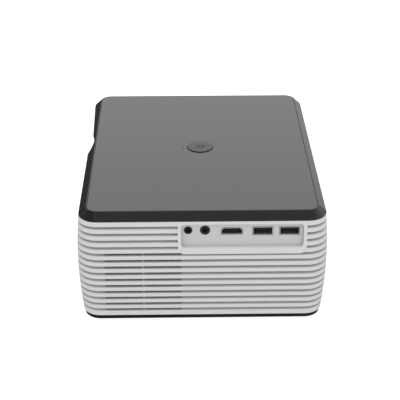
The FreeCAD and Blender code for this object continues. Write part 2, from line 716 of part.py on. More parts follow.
# ---- power button -----------------------------------------------------------------------------
def power_button():
    """Round button with its flange under the lid's web and its stem above the switch."""
    cap = rod(BUTTON_R, V(0, 0, WEB_Z - 0.5), Z, TOP_Z + BUTTON_RISE - WEB_Z + 0.5)
    cap = cap.makeFillet(0.4, [edge for edge in cap.Edges if edge.BoundBox.ZMin > TOP_Z])
    flange = rod(BUTTON_FLANGE_R, V(0, 0, WEB_Z - GAP - BUTTON_FLANGE_T), Z, BUTTON_FLANGE_T)
    button = joined([cap, flange])
    return button.cut(power_symbol_solid(0))


def power_symbol_solid(sink):
    """Broken ring with a bar in its gap, let into the button; the bar points to -X."""
    z = TOP_Z + BUTTON_RISE - SYMBOL_T
    band = tube(SYMBOL_R + SYMBOL_LINE / 2, SYMBOL_R - SYMBOL_LINE / 2, V(0, 0, z), Z, SYMBOL_T - sink)
    reach = SYMBOL_R + SYMBOL_LINE
    side = reach * math.tan(math.radians(SYMBOL_GAP))
    corners = [V(0, 0, z), V(-reach, -side, z), V(-reach, side, z), V(0, 0, z)]
    wedge = Part.Face(Part.makePolygon(corners)).extrude(Z)
    bar = box(-SYMBOL_R - SYMBOL_LINE, -SYMBOL_LINE, -SYMBOL_LINE / 2, SYMBOL_LINE / 2, z, z + SYMBOL_T - sink)
    return Part.makeCompound([band.cut(wedge), bar])


def power_symbol():
    """Light symbol inlaid in the button."""
    return power_symbol_solid(0.02)


def key_board():
    """Small board under the button, hung from the lid's bosses."""
    z = KEY_BOARD_Z - KEY_BOARD_T
    board = box(-KEY_BOARD_X, KEY_BOARD_X, -KEY_BOARD_Y, KEY_BOARD_Y, z, KEY_BOARD_Z)
    screws = [rod(1.8, V(x, 0, z - 0.9), Z, 0.9) for x in (-KEY_BOSS_X, KEY_BOSS_X)]
    return joined([rounded(board, 1.5, Z)] + screws)


def tact_switch():
    """Switch pressed by the button."""
    half = SWITCH_W / 2
    body = box(-half, half, -half, half, KEY_BOARD_Z, KEY_BOARD_Z + SWITCH_H * 0.6)
    return joined([body, rod(half * 0.6, V(0, 0, KEY_BOARD_Z), Z, SWITCH_H)])


def status_light():
    """Light pipe in the lid, standing on its diode."""
    diode = box(LIGHT_X - 0.8, LIGHT_X + 0.8, -0.5, 0.5, KEY_BOARD_Z, KEY_BOARD_Z + 0.6)
    return joined([diode, rod(LIGHT_R, V(LIGHT_X, 0, KEY_BOARD_Z), Z, TOP_Z - KEY_BOARD_Z)])


# ---- sockets ----------------------------------------------------------------------------------
def hdmi_outline(width, height, y0, y1, x=HDMI_X, top=PORT_BOARD_Z - HDMI_STAND):
    """Block along Y with two chamfered upper corners."""
    block = box(x - width / 2, x + width / 2, y0, y1, top - height, top)
    edges = [edge for edge in block.Edges
             if abs(edge.tangentAt(edge.FirstParameter).dot(Y)) > 0.999 and edge.BoundBox.ZMin > top - 0.01]
    return block.makeChamfer(height * 0.32, edges)


def port_panel():
    """Panel at the back of the socket window."""
    face = window_block(-FIT / 2, PANEL_Y, -IN_Y)
    flange = window_block(PANEL_FLANGE, -IN_Y, -IN_Y + PANEL_FLANGE)
    low = PANEL_Y - 1
    holes = [rod(AUDIO_R + SEAT, V(AUDIO_X, low, JACK_Z), Y, 9), rod(VIDEO_R + SEAT, V(VIDEO_X, low, JACK_Z), Y, 9)]
    grow = 2 * FIT
    holes.append(hdmi_outline(HDMI_W + grow, HDMI_H + grow, low, 0, top=PORT_BOARD_Z - HDMI_STAND + FIT))
    holes += [usb_block(x, grow, low, 0) for x in USB_X]
    return joined([face, flange]).cut(Part.makeCompound(holes))


def usb_block(x, grow, y0, y1):
    """Block along Y with a USB socket's outline, hung under the port board."""
    top = PORT_BOARD_Z + grow / 2
    return box(x - (USB_W + grow) / 2, x + (USB_W + grow) / 2, y0, y1, top - USB_H - grow, top)


def port_board():
    """Circuit board above the sockets."""
    y0 = -IN_Y + PANEL_FLANGE + 0.4
    board = box(WINDOW_X0 - 3, WINDOW_X1 + 2, y0, y0 + PORT_BOARD_Y, PORT_BOARD_Z, PORT_BOARD_Z + BOARD_T)
    return rounded(board, 1.0, Z)


def usb_shells():
    """Metal shells of the two USB sockets."""
    y1 = PANEL_Y + SOCKET_DEPTH
    return Part.makeCompound([usb_block(x, 0, PANEL_Y, y1).cut(usb_block(x, -2 * SHELL_T, PANEL_Y - 1, y1 - SHELL_T))
                              for x in USB_X])


def usb_tongues():
    """Contact tongues of the USB sockets with their contacts' pads."""
    tongues = []
    back = PANEL_Y + SOCKET_DEPTH - SHELL_T
    for x in USB_X:
        top = PORT_BOARD_Z - SHELL_T - 0.9
        half = USB_W / 2 - 1.4
        tongue = box(x - half, x + half, PANEL_Y + TONGUE_SETBACK, back, top - USB_TONGUE_T, top)
        block = usb_block(x, -2 * SHELL_T - 2 * SEAT, back - 3.0, back)
        tongues.append(joined([tongue, block]))
    return Part.makeCompound(tongues)


def hdmi_shell():
    """Metal shell of the HDMI socket."""
    y1 = PANEL_Y + SOCKET_DEPTH
    inner = hdmi_outline(HDMI_W - 2 * SHELL_T, HDMI_H - 2 * SHELL_T, PANEL_Y - 1, y1 - SHELL_T,
                         top=PORT_BOARD_Z - HDMI_STAND - SHELL_T)
    foot = box(HDMI_X - 4, HDMI_X + 4, PANEL_Y + 6, y1, PORT_BOARD_Z - HDMI_STAND, PORT_BOARD_Z)
    return joined([hdmi_outline(HDMI_W, HDMI_H, PANEL_Y, y1), foot]).cut(inner)


def hdmi_tongue():
    """Contact tongue of the HDMI socket."""
    back = PANEL_Y + SOCKET_DEPTH - SHELL_T
    middle = PORT_BOARD_Z - HDMI_STAND - HDMI_H * 0.56
    half = HDMI_W / 2 - 2.2
    tongue = box(HDMI_X - half, HDMI_X + half, PANEL_Y + TONGUE_SETBACK, back,
                 middle - HDMI_TONGUE_T / 2, middle + HDMI_TONGUE_T / 2)
    block = box(HDMI_X - half, HDMI_X + half, back - 2.5, back, middle - 1.6, middle + 1.6)
    return joined([tongue, block])


def round_jack(x, radius):
    """Round socket with its body under the port board."""
    barrel = rod(radius, V(x, PANEL_Y - 0.3, JACK_Z), Y, -IN_Y + PANEL_FLANGE - PANEL_Y + 0.5)
    y0 = -IN_Y + PANEL_FLANGE + 0.1
    body = box(x - radius - 0.6, x + radius + 0.6, y0, y0 + JACK_DEPTH, JACK_Z - radius - 0.6, PORT_BOARD_Z)
    return joined([barrel, body]).cut(rod(PLUG_R, V(x, PANEL_Y - 1, JACK_Z), Y, JACK_DEPTH + 3))


# ---- lens side --------------------------------------------------------------------------------
def outer_envelope(recess):
    """Space behind the smooth face of the lens-side wall, set back by some amount."""
    prism = smooth_face(BODY_Z, TOP_Z, -recess, 25.0).extrude(Y * LID_Y)
    prism.rotate(V(0, 0, 0), Z, 180)
    prism.translate(V(0, HALF_Y, 0))
    return prism


def lens_bay():
    """Gloss black cup round the lens."""
    inner = bay_points(0)
    outer = bay_points(BAY_T)
    back = BAY_DEPTH + BAY_T
    points = inner + [(BAY_DEPTH, RING_R + 0.8), (back, RING_R + 0.8), (back, outer[-1][1])] + outer[-2::-1]
    cup = lathe(points, V(-HALF_X, LENS_Y, LENS_Z), X, Z)
    cup = cup.common(outer_envelope(BAY_RECESS))
    under_edge = box(-HALF_X - 5, -HALF_X + LID_WALL, -HALF_Y, HALF_Y, LID_Z, TOP_Z + 5)
    return cup.cut(under_edge).cut(plan_block(0, WEB_Z, TOP_Z + 5)).cut(apron_block(-8, 0, 0, TOP_Z))


def front_apron():
    """Gloss black panel that runs from the bay to the far corner."""
    panel = apron_block(0, APRON_T, BODY_Z + APRON_FOOT + FIT, LID_Z)
    panel = panel.cut(bay_solid(BAY_T + SEAT, 0.5)).cut(box(-HALF_X, 0, APRON_END_Y - FIT, HALF_Y, 0, TOP_Z))
    return panel.cut(rod(IR_R + SEAT, V(-HALF_X - 2, IR_Y, LID_Z - IR_DROP), X, 9))


def ir_window():
    """Dark window of the remote control receiver, with the receiver behind it."""
    x = apron_x(IR_Y)
    return rod(IR_R, V(x, IR_Y, LID_Z - IR_DROP), X, APRON_T + 1.2)


def focus_ring():
    """Ring turned by a finger, with scallops round its rim."""
    front = RING_FRONT
    step = MOUNT_FRONT - GAP
    back = BAY_DEPTH + BAY_T / 2
    points = [(front + 0.8, BARREL_FLANGE_R + GAP), (front, BARREL_FLANGE_R + GAP + 1), (front, RING_R - 0.8),
              (front + 0.8, RING_R), (back, RING_R), (back, MOUNT_R + RUNNING),
              (step, MOUNT_R + RUNNING), (step, BARREL_FLANGE_R + GAP)]
    ring = lathe(points, V(-HALF_X, LENS_Y, LENS_Z), X, Z)
    cuts = []
    for number in range(RING_SCALLOPS):
        turn = 2 * math.pi * number / RING_SCALLOPS
        place = V(-HALF_X + front + 2, LENS_Y + RING_R * math.cos(turn), LENS_Z + RING_R * math.sin(turn))
        cuts.append(rod(SCALLOP_R, place, X, BAY_DEPTH - front - 4))
    return ring.cut(Part.makeCompound(cuts))


def lens_barrel():
    """Tube that carries the lenses and slides for focus."""
    front = BARREL_FRONT
    back = front + BARREL_L
    inside = BARREL_R - BARREL_WALL
    points = [(front, inside), (front, BARREL_FLANGE_R), (front + BARREL_FLANGE_T, BARREL_FLANGE_R),
              (front + BARREL_FLANGE_T, BARREL_R), (back, BARREL_R), (back, inside)]
    return lathe(points, V(-HALF_X, LENS_Y, LENS_Z), X, Z)


def round_lens(front, edge, crown_front, crown_back, radius):
    """Lens with spherical faces; crowns are the heights of its faces at the middle."""
    axis_point = V(-HALF_X + front, LENS_Y, LENS_Z)
    lens = rod(radius, axis_point - X * crown_front, X, edge + crown_front + crown_back)
    for crown, sign, start in ((crown_front, 1, front), (crown_back, -1, front + edge)):
        if crown > 0:
            ball_r = (radius ** 2 + crown ** 2) / (2 * crown)
            centre = V(-HALF_X + start + sign * (ball_r - crown), LENS_Y, LENS_Z)
            lens = lens.common(Part.makeSphere(ball_r, centre))
    return lens


def lens_elements():
    """Front, middle and rear lens of the projection lens."""
    radius = BARREL_R - BARREL_WALL - SEAT
    return Part.makeCompound([round_lens(BARREL_FRONT + behind, edge, crown_front, crown_back, radius)
                              for behind, edge, crown_front, crown_back in LENSES])


def lens_mount():
    """Sleeve that the barrel slides in, with its flange on the optical box."""
    nose = BAY_DEPTH + BAY_T + 1
    end = MOUNT_FRONT + MOUNT_LENGTH
    points = [(MOUNT_FRONT, BARREL_R + RUNNING), (MOUNT_FRONT, MOUNT_R), (nose, MOUNT_R), (nose, MOUNT_NECK_R),
              (end, MOUNT_NECK_R), (end, BARREL_R + RUNNING)]
    sleeve = lathe(points, V(-HALF_X, LENS_Y, LENS_Z), X, Z)
    half = MOUNT_FLANGE / 2
    x = -HALF_X + end
    low = tunnel_z()[1] - half * 2
    flange = box(x - MOUNT_FLANGE_T, x, LENS_Y - half, LENS_Y + half, low, tunnel_z()[1])
    return joined([sleeve, flange.cut(rod(MOUNT_NECK_R - 1, V(x - 9, LENS_Y, LENS_Z), X, 12))])


def tunnel_x():
    """Front and rear of the optical box."""
    front = -HALF_X + MOUNT_FRONT + MOUNT_LENGTH
    return front, front + TUNNEL_L


def tunnel_z():
    """Underside and top of the optical box, just under the disc drive."""
    top = DRIVE_Z - 1.0
    return top - TUNNEL_H, top


def plate_block(at, thickness, grow):
    """Glass plate across the light path, let into the side walls."""
    x = tunnel_x()[0] + at
    middle = sum(tunnel_z()) / 2
    half = TUNNEL_W / 2 - TUNNEL_WALL + SLOT_BITE - 0.1 + grow
    return box(x - grow, x + thickness + grow, LENS_Y - half, LENS_Y + half,
               middle - PANEL_H / 2 - grow, middle + PANEL_H / 2 + grow)


def optical_box():
    """Dark box that holds the light path, on four legs."""
    x0, x1 = tunnel_x()
    z0, z1 = tunnel_z()
    half = TUNNEL_W / 2
    wall = TUNNEL_WALL
    shell = box(x0, x1, LENS_Y - half, LENS_Y + half, z0, z1)
    hollow = box(x0 + wall, x1 - wall, LENS_Y - half + wall, LENS_Y + half - wall, z0 + wall, z1 - wall)
    leg = TUNNEL_LEG
    legs = [box(x, x + leg, y, y + leg, FLOOR_Z, z0) for x in (x0, x1 - leg)
            for y in (LENS_Y - half, LENS_Y + half - leg)]
    middle = (z0 + z1) / 2
    light = box(x1 - wall - 1, x1 + 1, LENS_Y - LED_HOLE / 2, LENS_Y + LED_HOLE / 2,
                middle - LED_HOLE / 2, middle + LED_HOLE / 2)
    holes = [rod(BARREL_R - BARREL_WALL, V(x0 - 1, LENS_Y, LENS_Z), X, wall + 2), light]
    holes += [plate_block(at, thickness, 0.1) for at, thickness in plate_places()]
    return joined([shell.cut(hollow)] + legs).cut(Part.makeCompound(holes))


def plate_places():
    """Every glass plate in the optical box as (distance behind its front, thickness)."""
    return [(FRESNEL_AT, PLASTIC_LENS_T), (LCD_AT, LCD_T), (REAR_FRESNEL_AT, PLASTIC_LENS_T),
            (HEAT_GLASS_AT, GLASS_T), (CONDENSER_AT, CONDENSER_T)]


def condenser_lens():
    """Square-edged condenser with a domed rear face."""
    plate = plate_block(CONDENSER_AT, CONDENSER_T, 0)
    x = tunnel_x()[0] + CONDENSER_AT + CONDENSER_T
    ball_r = (CONDENSER_R ** 2 + CONDENSER_DOME ** 2) / (2 * CONDENSER_DOME)
    middle = sum(tunnel_z()) / 2
    ball = Part.makeSphere(ball_r, V(x - ball_r + CONDENSER_DOME, LENS_Y, middle))
    return joined([plate, ball.common(rod(CONDENSER_R + 1, V(x, LENS_Y, middle), X, CONDENSER_DOME + 1))])


def led_module():
    """Light source on its board behind the optical box."""
    x = tunnel_x()[1]
    middle = sum(tunnel_z()) / 2
    half = LED_BOARD / 2
    board = box(x, x + LED_BOARD_T, LENS_Y - half, LENS_Y + half, middle - half, middle + half)
    chip = LED_CHIP / 2
    die = box(x - LED_CHIP_T, x, LENS_Y - chip, LENS_Y + chip, middle - chip, middle + chip)
    return joined([board, die])


def heatsink():
    """Finned block behind the light source."""
    x = tunnel_x()[1] + LED_BOARD_T
    middle = sum(tunnel_z()) / 2
    half = SINK_W / 2
    end = IN_X - EXHAUST_T - SINK_TO_FAN
    pieces = [box(x, x + SINK_BASE_T, LENS_Y - half, LENS_Y + half, middle - half, middle + half)]
    for number in range(SINK_FINS):
        y = LENS_Y - half + number * (SINK_W - SINK_FIN_T) / (SINK_FINS - 1)
        pieces.append(box(x + SINK_BASE_T, end, y, y + SINK_FIN_T, middle - half, middle + half))
    return joined(pieces)


# ---- fans -------------------------------------------------------------------------------------
def fan_frame(size, thickness):
    """Square fan frame lying flat, its rear side at z = 0, with struts that carry the motor."""
    half = size / 2
    frame = rounded(box(-half, half, -half, half, 0, thickness), 3.0, Z)
    frame = frame.cut(rod(half - FAN_WALL, V(0, 0, -1), Z, thickness + 2))
    holes = [rod(1.8, V(x, y, -1), Z, thickness + 2) for x, y in mirrored(half - 4, half - 4)]
    struts = [box(-half + 1, half - 1, -FAN_STRUT / 2, FAN_STRUT / 2, 0, 1.5),
              box(-FAN_STRUT / 2, FAN_STRUT / 2, -half + 1, half - 1, 0, 1.5)]
    seat = rod(FAN_HUB_R - 1, V(0, 0, 0), Z, 1.5)
    post = rod(1.2, V(0, 0, 1.5), Z, thickness / 2)
    return joined([frame.cut(Part.makeCompound(holes))] + struts + [seat, post])


def fan_rotor(size, thickness):
    """Fan wheel: cupped hub with a bore for the post, and slanting blades."""
    low = 1.5 + GAP
    high = thickness - GAP
    reach = size / 2 - FAN_WALL - 0.6
    hub = rod(FAN_HUB_R, V(0, 0, low), Z, high - low)
    blades = []
    for number in range(FAN_BLADES):
        blade = box(FAN_HUB_R - 1, reach + 3, -FAN_BLADE_T / 2, FAN_BLADE_T / 2, -size, size)
        blade.rotate(V(0, 0, (low + high) / 2), X, 40)
        blade.rotate(V(0, 0, 0), Z, 360 * number / FAN_BLADES)
        blades.append(blade)
    space = rod(reach, V(0, 0, low + 0.5), Z, high - low - 1)
    blades = [blade.common(space) for blade in blades]
    bore = rod(1.2 + RUNNING, V(0, 0, 0), Z, 1.5 + thickness / 2 + GAP)
    return joined([hub] + blades).cut(bore)


def seat_exhaust(shape):
    """Places a flat fan piece against the rear wall, its rear side inwards."""
    shape.rotate(V(0, 0, 0), Y, 90)
    shape.translate(V(IN_X - EXHAUST_T, LENS_Y, EXHAUST_Z))
    return shape


def seat_intake(shape):
    """Places a flat fan piece behind the vents of the socket side, its rear side inwards."""
    shape.rotate(V(0, 0, 0), X, 90)
    shape.translate(V(INTAKE_X, -IN_Y + INTAKE_T, INTAKE_Z))
    return shape


# ---- boards, inlet, speaker -------------------------------------------------------------------
def board_plate(limits):
    """Circuit board on its posts."""
    x0, x1, y0, y1 = limits
    return rounded(box(x0, x1, y0, y1, BOARD_Z, BOARD_Z + BOARD_T), 1.5, Z)


def main_board():
    """Main board with its chips, cooler block and connectors."""
    x0, x1, y0, y1 = MAIN_BOARD
    top = BOARD_Z + BOARD_T
    middle = (y0 + y1) / 2
    half = CHIP / 2
    chips = [box(-half, half, middle - half, middle + half, top, top + CHIP_T)]
    chips += [box(*MEMORY_X, middle + start, middle + end, top, top + MEMORY_T) for start, end in MEMORY_Y]
    header = box(x1 - HEADER_X[1], x1 - HEADER_X[0], y0 + HEADER_Y[0], y0 + HEADER_Y[1], top, top + HEADER_H)
    half = COOLER / 2
    pitch = (COOLER - COOLER_FIN_T) / (COOLER_FINS - 1)
    fins = [box(-half, half, middle - half + pitch * number, middle - half + pitch * number + COOLER_FIN_T,
                top + CHIP_T, top + CHIP_T + COOLER_H) for number in range(COOLER_FINS)]
    cans = [rod(CAN_R, V(x0 + CAN_IN + CAN_PITCH * number, y1 - CAN_PITCH, top), Z, CAN_H) for number in range(3)]
    return joined([board_plate(MAIN_BOARD)] + chips + [header] + fins + cans)


def power_board():
    """Mains board with its transformer, large capacitor and terminal block."""
    x0, x1, y0, y1 = POWER_BOARD
    top = BOARD_Z + BOARD_T
    coil = box(x0 + COIL_X[0], x0 + COIL_X[1], y0 + COIL_Y[0], y0 + COIL_Y[1], top, top + COIL_H)
    bulk = rod(BULK_R, V(x1 - BULK_X, y0 + BULK_Y, top), Z, BULK_H)
    block = box(x1 - BLOCK_IN[1], x1 - BLOCK_IN[0], y1 - BLOCK_Y[1], y1 - BLOCK_Y[0], top, top + BLOCK_H)
    return joined([board_plate(POWER_BOARD), coil, bulk, block])


def ac_inlet():
    """Figure-eight mains inlet in the rear wall."""
    x1 = HALF_X + wall_offset(INLET_Z) - 1.0
    body = box(x1 - INLET_DEPTH, x1, INLET_Y - INLET_W / 2, INLET_Y + INLET_W / 2,
               INLET_Z - INLET_H / 2, INLET_Z + INLET_H / 2)
    lug = box(IN_X - 1.5, IN_X, INLET_Y - INLET_W / 2 - 3, INLET_Y + INLET_W / 2 + 3,
              INLET_Z - INLET_H / 2 - 2, INLET_Z + INLET_H / 2 + 2)
    round_r = INLET_HOLE_H / 2
    x = x1 - INLET_HOLE_D
    side = INLET_HOLE_W / 2 - round_r
    hole = [rod(round_r, V(x, INLET_Y + y, INLET_Z), X, INLET_HOLE_D + 1) for y in (-side, side)]
    hole.append(box(x, x1 + 1, INLET_Y - side, INLET_Y + side, INLET_Z - round_r * 0.84, INLET_Z + round_r * 0.84))
    pins = [rod(PIN_R + SEAT, V(x - 5, INLET_Y + y, INLET_Z), X, 6) for y in (-PIN_SPACING / 2, PIN_SPACING / 2)]
    return joined([body, lug]).cut(Part.makeCompound(hole)).cut(Part.makeCompound(pins))


def ac_pins():
    """Two round contacts in the mains inlet."""
    x1 = HALF_X + wall_offset(INLET_Z) - 1.0
    start = x1 - INLET_HOLE_D - 5
    return Part.makeCompound([rod(PIN_R, V(start, INLET_Y + y, INLET_Z), X, 5 + INLET_HOLE_D - 2)
                              for y in (-PIN_SPACING / 2, PIN_SPACING / 2)])


def speaker():
    """Speaker basket and magnet against the wall beside the tray."""
    y = IN_Y - SPEAKER_T
    centre = V(SPEAKER_X, y, SPEAKER_Z)
    points = [(0, 4.2), (0, 11.0), (5, 11.0), (5, 12.5), (SPEAKER_T - 2, SPEAKER_R - 2), (SPEAKER_T - 2, SPEAKER_R),
              (SPEAKER_T, SPEAKER_R), (SPEAKER_T, SPEAKER_R - 2.5), (SPEAKER_T - 2, SPEAKER_R - 3.5), (6.5, 10.5),
              (6.5, 4.2)]
    return lathe(points, centre, Y, Z)


def speaker_cone():
    """Cone with its voice coil, fixed at its rim."""
    centre = V(SPEAKER_X, IN_Y - SPEAKER_T, SPEAKER_Z)
    rim = SPEAKER_R - 3.2
    points = [(1, 0), (1, 4.0), (7, 4.0), (SPEAKER_T - 1.2, rim), (SPEAKER_T - 0.9, rim),
              (9.0, 5.0), (10.5, 0)]
    return lathe(points, centre, Y, Z)


# ---- disc drive -------------------------------------------------------------------------------
def drive_chassis():
    """Pan of the drive, open towards the tray's side."""
    half = DRIVE_W / 2
    shell = box(-half, half, DRIVE_Y0, DRIVE_Y1, DRIVE_Z, DRIVE_TOP - SHEET)
    return shell.cut(box(-half + SHEET, half - SHEET, DRIVE_Y0 + SHEET, DRIVE_Y1 + 1, DRIVE_FLOOR, DRIVE_TOP))


def drive_cover():
    """Top sheet of the drive."""
    half = DRIVE_W / 2
    return box(-half, half, DRIVE_Y0, DRIVE_Y1, DRIVE_TOP - SHEET, DRIVE_TOP)


def drive_posts():
    """Spacers that carry the drive above the base."""
    side = DRIVE_W / 2 - DRIVE_POST_X
    places = [(x, y) for x in (-side, side) for y in (DRIVE_Y0 + DRIVE_POST_Y[0], DRIVE_Y1 - DRIVE_POST_Y[1])]
    return Part.makeCompound([rod(DRIVE_POST_R, V(x, y, FLOOR_Z), Z, DRIVE_Z - FLOOR_Z) for x, y in places])


def tray_half():
    """Half the tray's width between its rails."""
    return DRIVE_W / 2 - SHEET - RAIL_T - 2 * GAP


def disc_centre():
    """Spindle's place along Y."""
    return BEZEL_Y - RECESS_TO_BEZEL - RECESS_R


def traverse_z():
    """Underside and top of the traverse plate."""
    low = DRIVE_FLOOR + PLATE_LIFT
    return low, low + TRAVERSE_T


def tray_rails():
    """Two sliding strips that carry the tray half way out."""
    half = DRIVE_W / 2 - SHEET - GAP
    z = DRIVE_FLOOR + 2.2
    y1 = DRIVE_Y1 - 1
    return Part.makeCompound([box(x, x + RAIL_T, TRAY_Y0, y1, z, z + RAIL_H)
                              for x in (-half, half - RAIL_T)])


def disc_tray():
    """Tray with the disc's recess and the window over the pickup."""
    half = tray_half()
    low = traverse_z()[1]
    centre = disc_centre()
    tray = box(-half, half, TRAY_Y0, BEZEL_Y, low, DRIVE_TOP - SHEET - TRAY_TOP_GAP)
    tray = tray.cut(rod(RECESS_R, V(0, centre, DRIVE_FLOOR + RECESS_FLOOR), Z, DRIVE_H))
    window = box(-ROD_X - TRAY_WINDOW_SIDE, SCREW_X + TRAY_WINDOW_SIDE + 1, TRAY_Y0 + 1.5, centre, low - 1, DRIVE_TOP)
    hub_hole = rod(HUB_SEAT_R + HUB_ROOM, V(0, centre, low - 1), Z, DRIVE_H)
    side = EJECT_W / 2 + EJECT_FLANGE + GAP
    rise = EJECT_H / 2 + EJECT_FLANGE + GAP
    depth = EJECT_FLANGE_T + EJECT_TRAVEL + 2 * GAP
    pocket = box(EJECT_X - side, EJECT_X + side, BEZEL_Y - depth, BEZEL_Y, eject_z() - rise, eject_z() + rise)
    pinhole = rod(PINHOLE_R, V(PINHOLE_X, BEZEL_Y - depth, eject_z()), Y, depth + 1)
    return tray.cut(Part.makeCompound([window, hub_hole, pocket, pinhole]))


def eject_z():
    """Height of the eject button."""
    return (DRIVE_Z + DRIVE_TOP) / 2


def tray_bezel():
    """Front of the tray in the case's wall."""
    half = DRIVE_W / 2 + BEZEL_LAP
    bezel = box(-half, half, BEZEL_Y, BEZEL_Y + BEZEL_T, DRIVE_Z - BEZEL_LAP, DRIVE_TOP + BEZEL_LAP)
    front = [edge for edge in bezel.Edges if edge.BoundBox.YMin > BEZEL_Y + BEZEL_T - 0.01]
    bezel = bezel.makeFillet(0.6, front)
    slot = rounded(box(EJECT_X - EJECT_W / 2 - FIT, EJECT_X + EJECT_W / 2 + FIT, BEZEL_Y - 1, BEZEL_Y + BEZEL_T + 1,
                       eject_z() - EJECT_H / 2 - FIT, eject_z() + EJECT_H / 2 + FIT), EJECT_H / 2, Y)
    return bezel.cut(slot).cut(rod(PINHOLE_R, V(PINHOLE_X, BEZEL_Y - 1, eject_z()), Y, BEZEL_T + 2))


def eject_button():
    """Pill-shaped button with its flange behind the bezel."""
    z = eject_z()
    side = EJECT_W / 2
    rise = EJECT_H / 2
    back = BEZEL_Y - EJECT_FLANGE_T - FIT
    pill = rounded(box(EJECT_X - side, EJECT_X + side, back, BEZEL_Y + BEZEL_T + EJECT_RISE, z - rise, z + rise),
                   rise - 0.01, Y)
    side += EJECT_FLANGE
    rise += EJECT_FLANGE
    flange = box(EJECT_X - side, EJECT_X + side, back, back + EJECT_FLANGE_T, z - rise, z + rise)
    return joined([pill, flange])


def traverse_plate():
    """Steel plate under the tray with the posts of the rods and the lead screw."""
    low, top = traverse_z()
    start, end = rod_ends()
    side = ROD_POST / 2
    high = rod_z() + ROD_POST_RISE
    plate = box(-ROD_X - TRAVERSE_SIDE, SCREW_X + TRAVERSE_SIDE, TRAY_Y0 + 0.5, disc_centre() + TRAVERSE_END, low, top)
    posts = [box(x - side, x + side, y, y + ROD_POST_T, top, high) for x in (-ROD_X, ROD_X) for y in (start, end)]
    posts.append(box(SCREW_X - side, SCREW_X + side, start, start + ROD_POST_T, top, high))
    bores = [rod(ROD_R + SEAT, V(x, start - 1, rod_z()), Y, end + ROD_POST_T + 2 - start) for x in (-ROD_X, ROD_X)]
    bores.append(rod(LEAD_R + RUNNING, V(SCREW_X, start - 1, rod_z()), Y, ROD_POST_T + 2))
    return joined([plate] + posts).cut(Part.makeCompound(bores))


def rod_z():
    """Height of the guide rods' axes."""
    return traverse_z()[1] + ROD_LIFT


def sled_y():
    """Sled's two ends along Y at its innermost place."""
    middle = disc_centre() - SLED_FROM_HUB
    return middle - SLED_L / 2, middle + SLED_L / 2


def rod_ends():
    """Starts of the outer and the inner rod posts along Y."""
    return sled_y()[0] - SLED_TRAVEL - ROD_END_GAP - ROD_POST_T, sled_y()[1] + ROD_END_GAP


def guide_rods():
    """Two rods that the pickup slides on."""
    start, end = rod_ends()
    return Part.makeCompound([rod(ROD_R, V(x, start, rod_z()), Y, end + ROD_POST_T - start) for x in (-ROD_X, ROD_X)])


def lead_screw():
    """Screw that drives the pickup, turned by its motor."""
    start, end = rod_ends()
    return rod(LEAD_R, V(SCREW_X, start, rod_z()), Y, end + ROD_POST_T - start)


def sled_motor():
    """Motor of the lead screw on the traverse plate."""
    y = rod_ends()[1] + ROD_POST_T + RUNNING
    top = traverse_z()[1]
    side = SLED_MOTOR_W / 2
    return rounded(box(SCREW_X - side, SCREW_X + side, y, y + SLED_MOTOR_L, top, top + SLED_MOTOR_H), 1.0, Y)


def pickup_sled():
    """Sled with its optical pickup."""
    y0, y1 = sled_y()
    z = rod_z()
    low = traverse_z()[1] + GAP
    body = box(-ROD_X - SLED_SIDE, SCREW_X + SLED_SIDE, y0, y1, low, z + SLED_RISE)
    turret = rod(TURRET_R, V(0, (y0 + y1) / 2, z), Z, TURRET_H)
    lens = rod(PICKUP_R, V(0, (y0 + y1) / 2, z + TURRET_H), Z, PICKUP_H)
    bores = [rod(ROD_R + RUNNING, V(x, y0 - 1, z), Y, SLED_L + 2) for x in (-ROD_X, ROD_X)]
    bores.append(rod(LEAD_R + RUNNING, V(SCREW_X, y0 - 1, z), Y, SLED_L + 2))
    return joined([body, turret, lens]).cut(Part.makeCompound(bores))


def spindle_motor():
    """Stator and bearing of the disc's motor."""
    top = traverse_z()[1]
    centre = V(0, disc_centre(), top)
    return rod(MOTOR_R, centre, Z, MOTOR_H).cut(rod(SHAFT_R + RUNNING, centre, Z, MOTOR_H))


def spindle_hub():
    """Rotor with the disc's seat, the sprung nose and the shaft."""
    top = traverse_z()[1]
    seat = DRIVE_FLOOR + RECESS_FLOOR + DISC_LIFT - top
    under = seat - HUB_SEAT_T
    nose = seat + HUB_NOSE_H
    points = [(0.2, 0), (0.2, SHAFT_R), (MOTOR_H + GAP, SHAFT_R), (MOTOR_H + GAP, HUB_R), (under, HUB_R),
              (under, HUB_SEAT_R), (seat, HUB_SEAT_R), (seat, HUB_NOSE_R), (nose - 0.4, HUB_NOSE_R),
              (nose, HUB_NOSE_R - 0.6), (nose, 0)]
    return lathe(points, V(0, disc_centre(), top), Z, X)


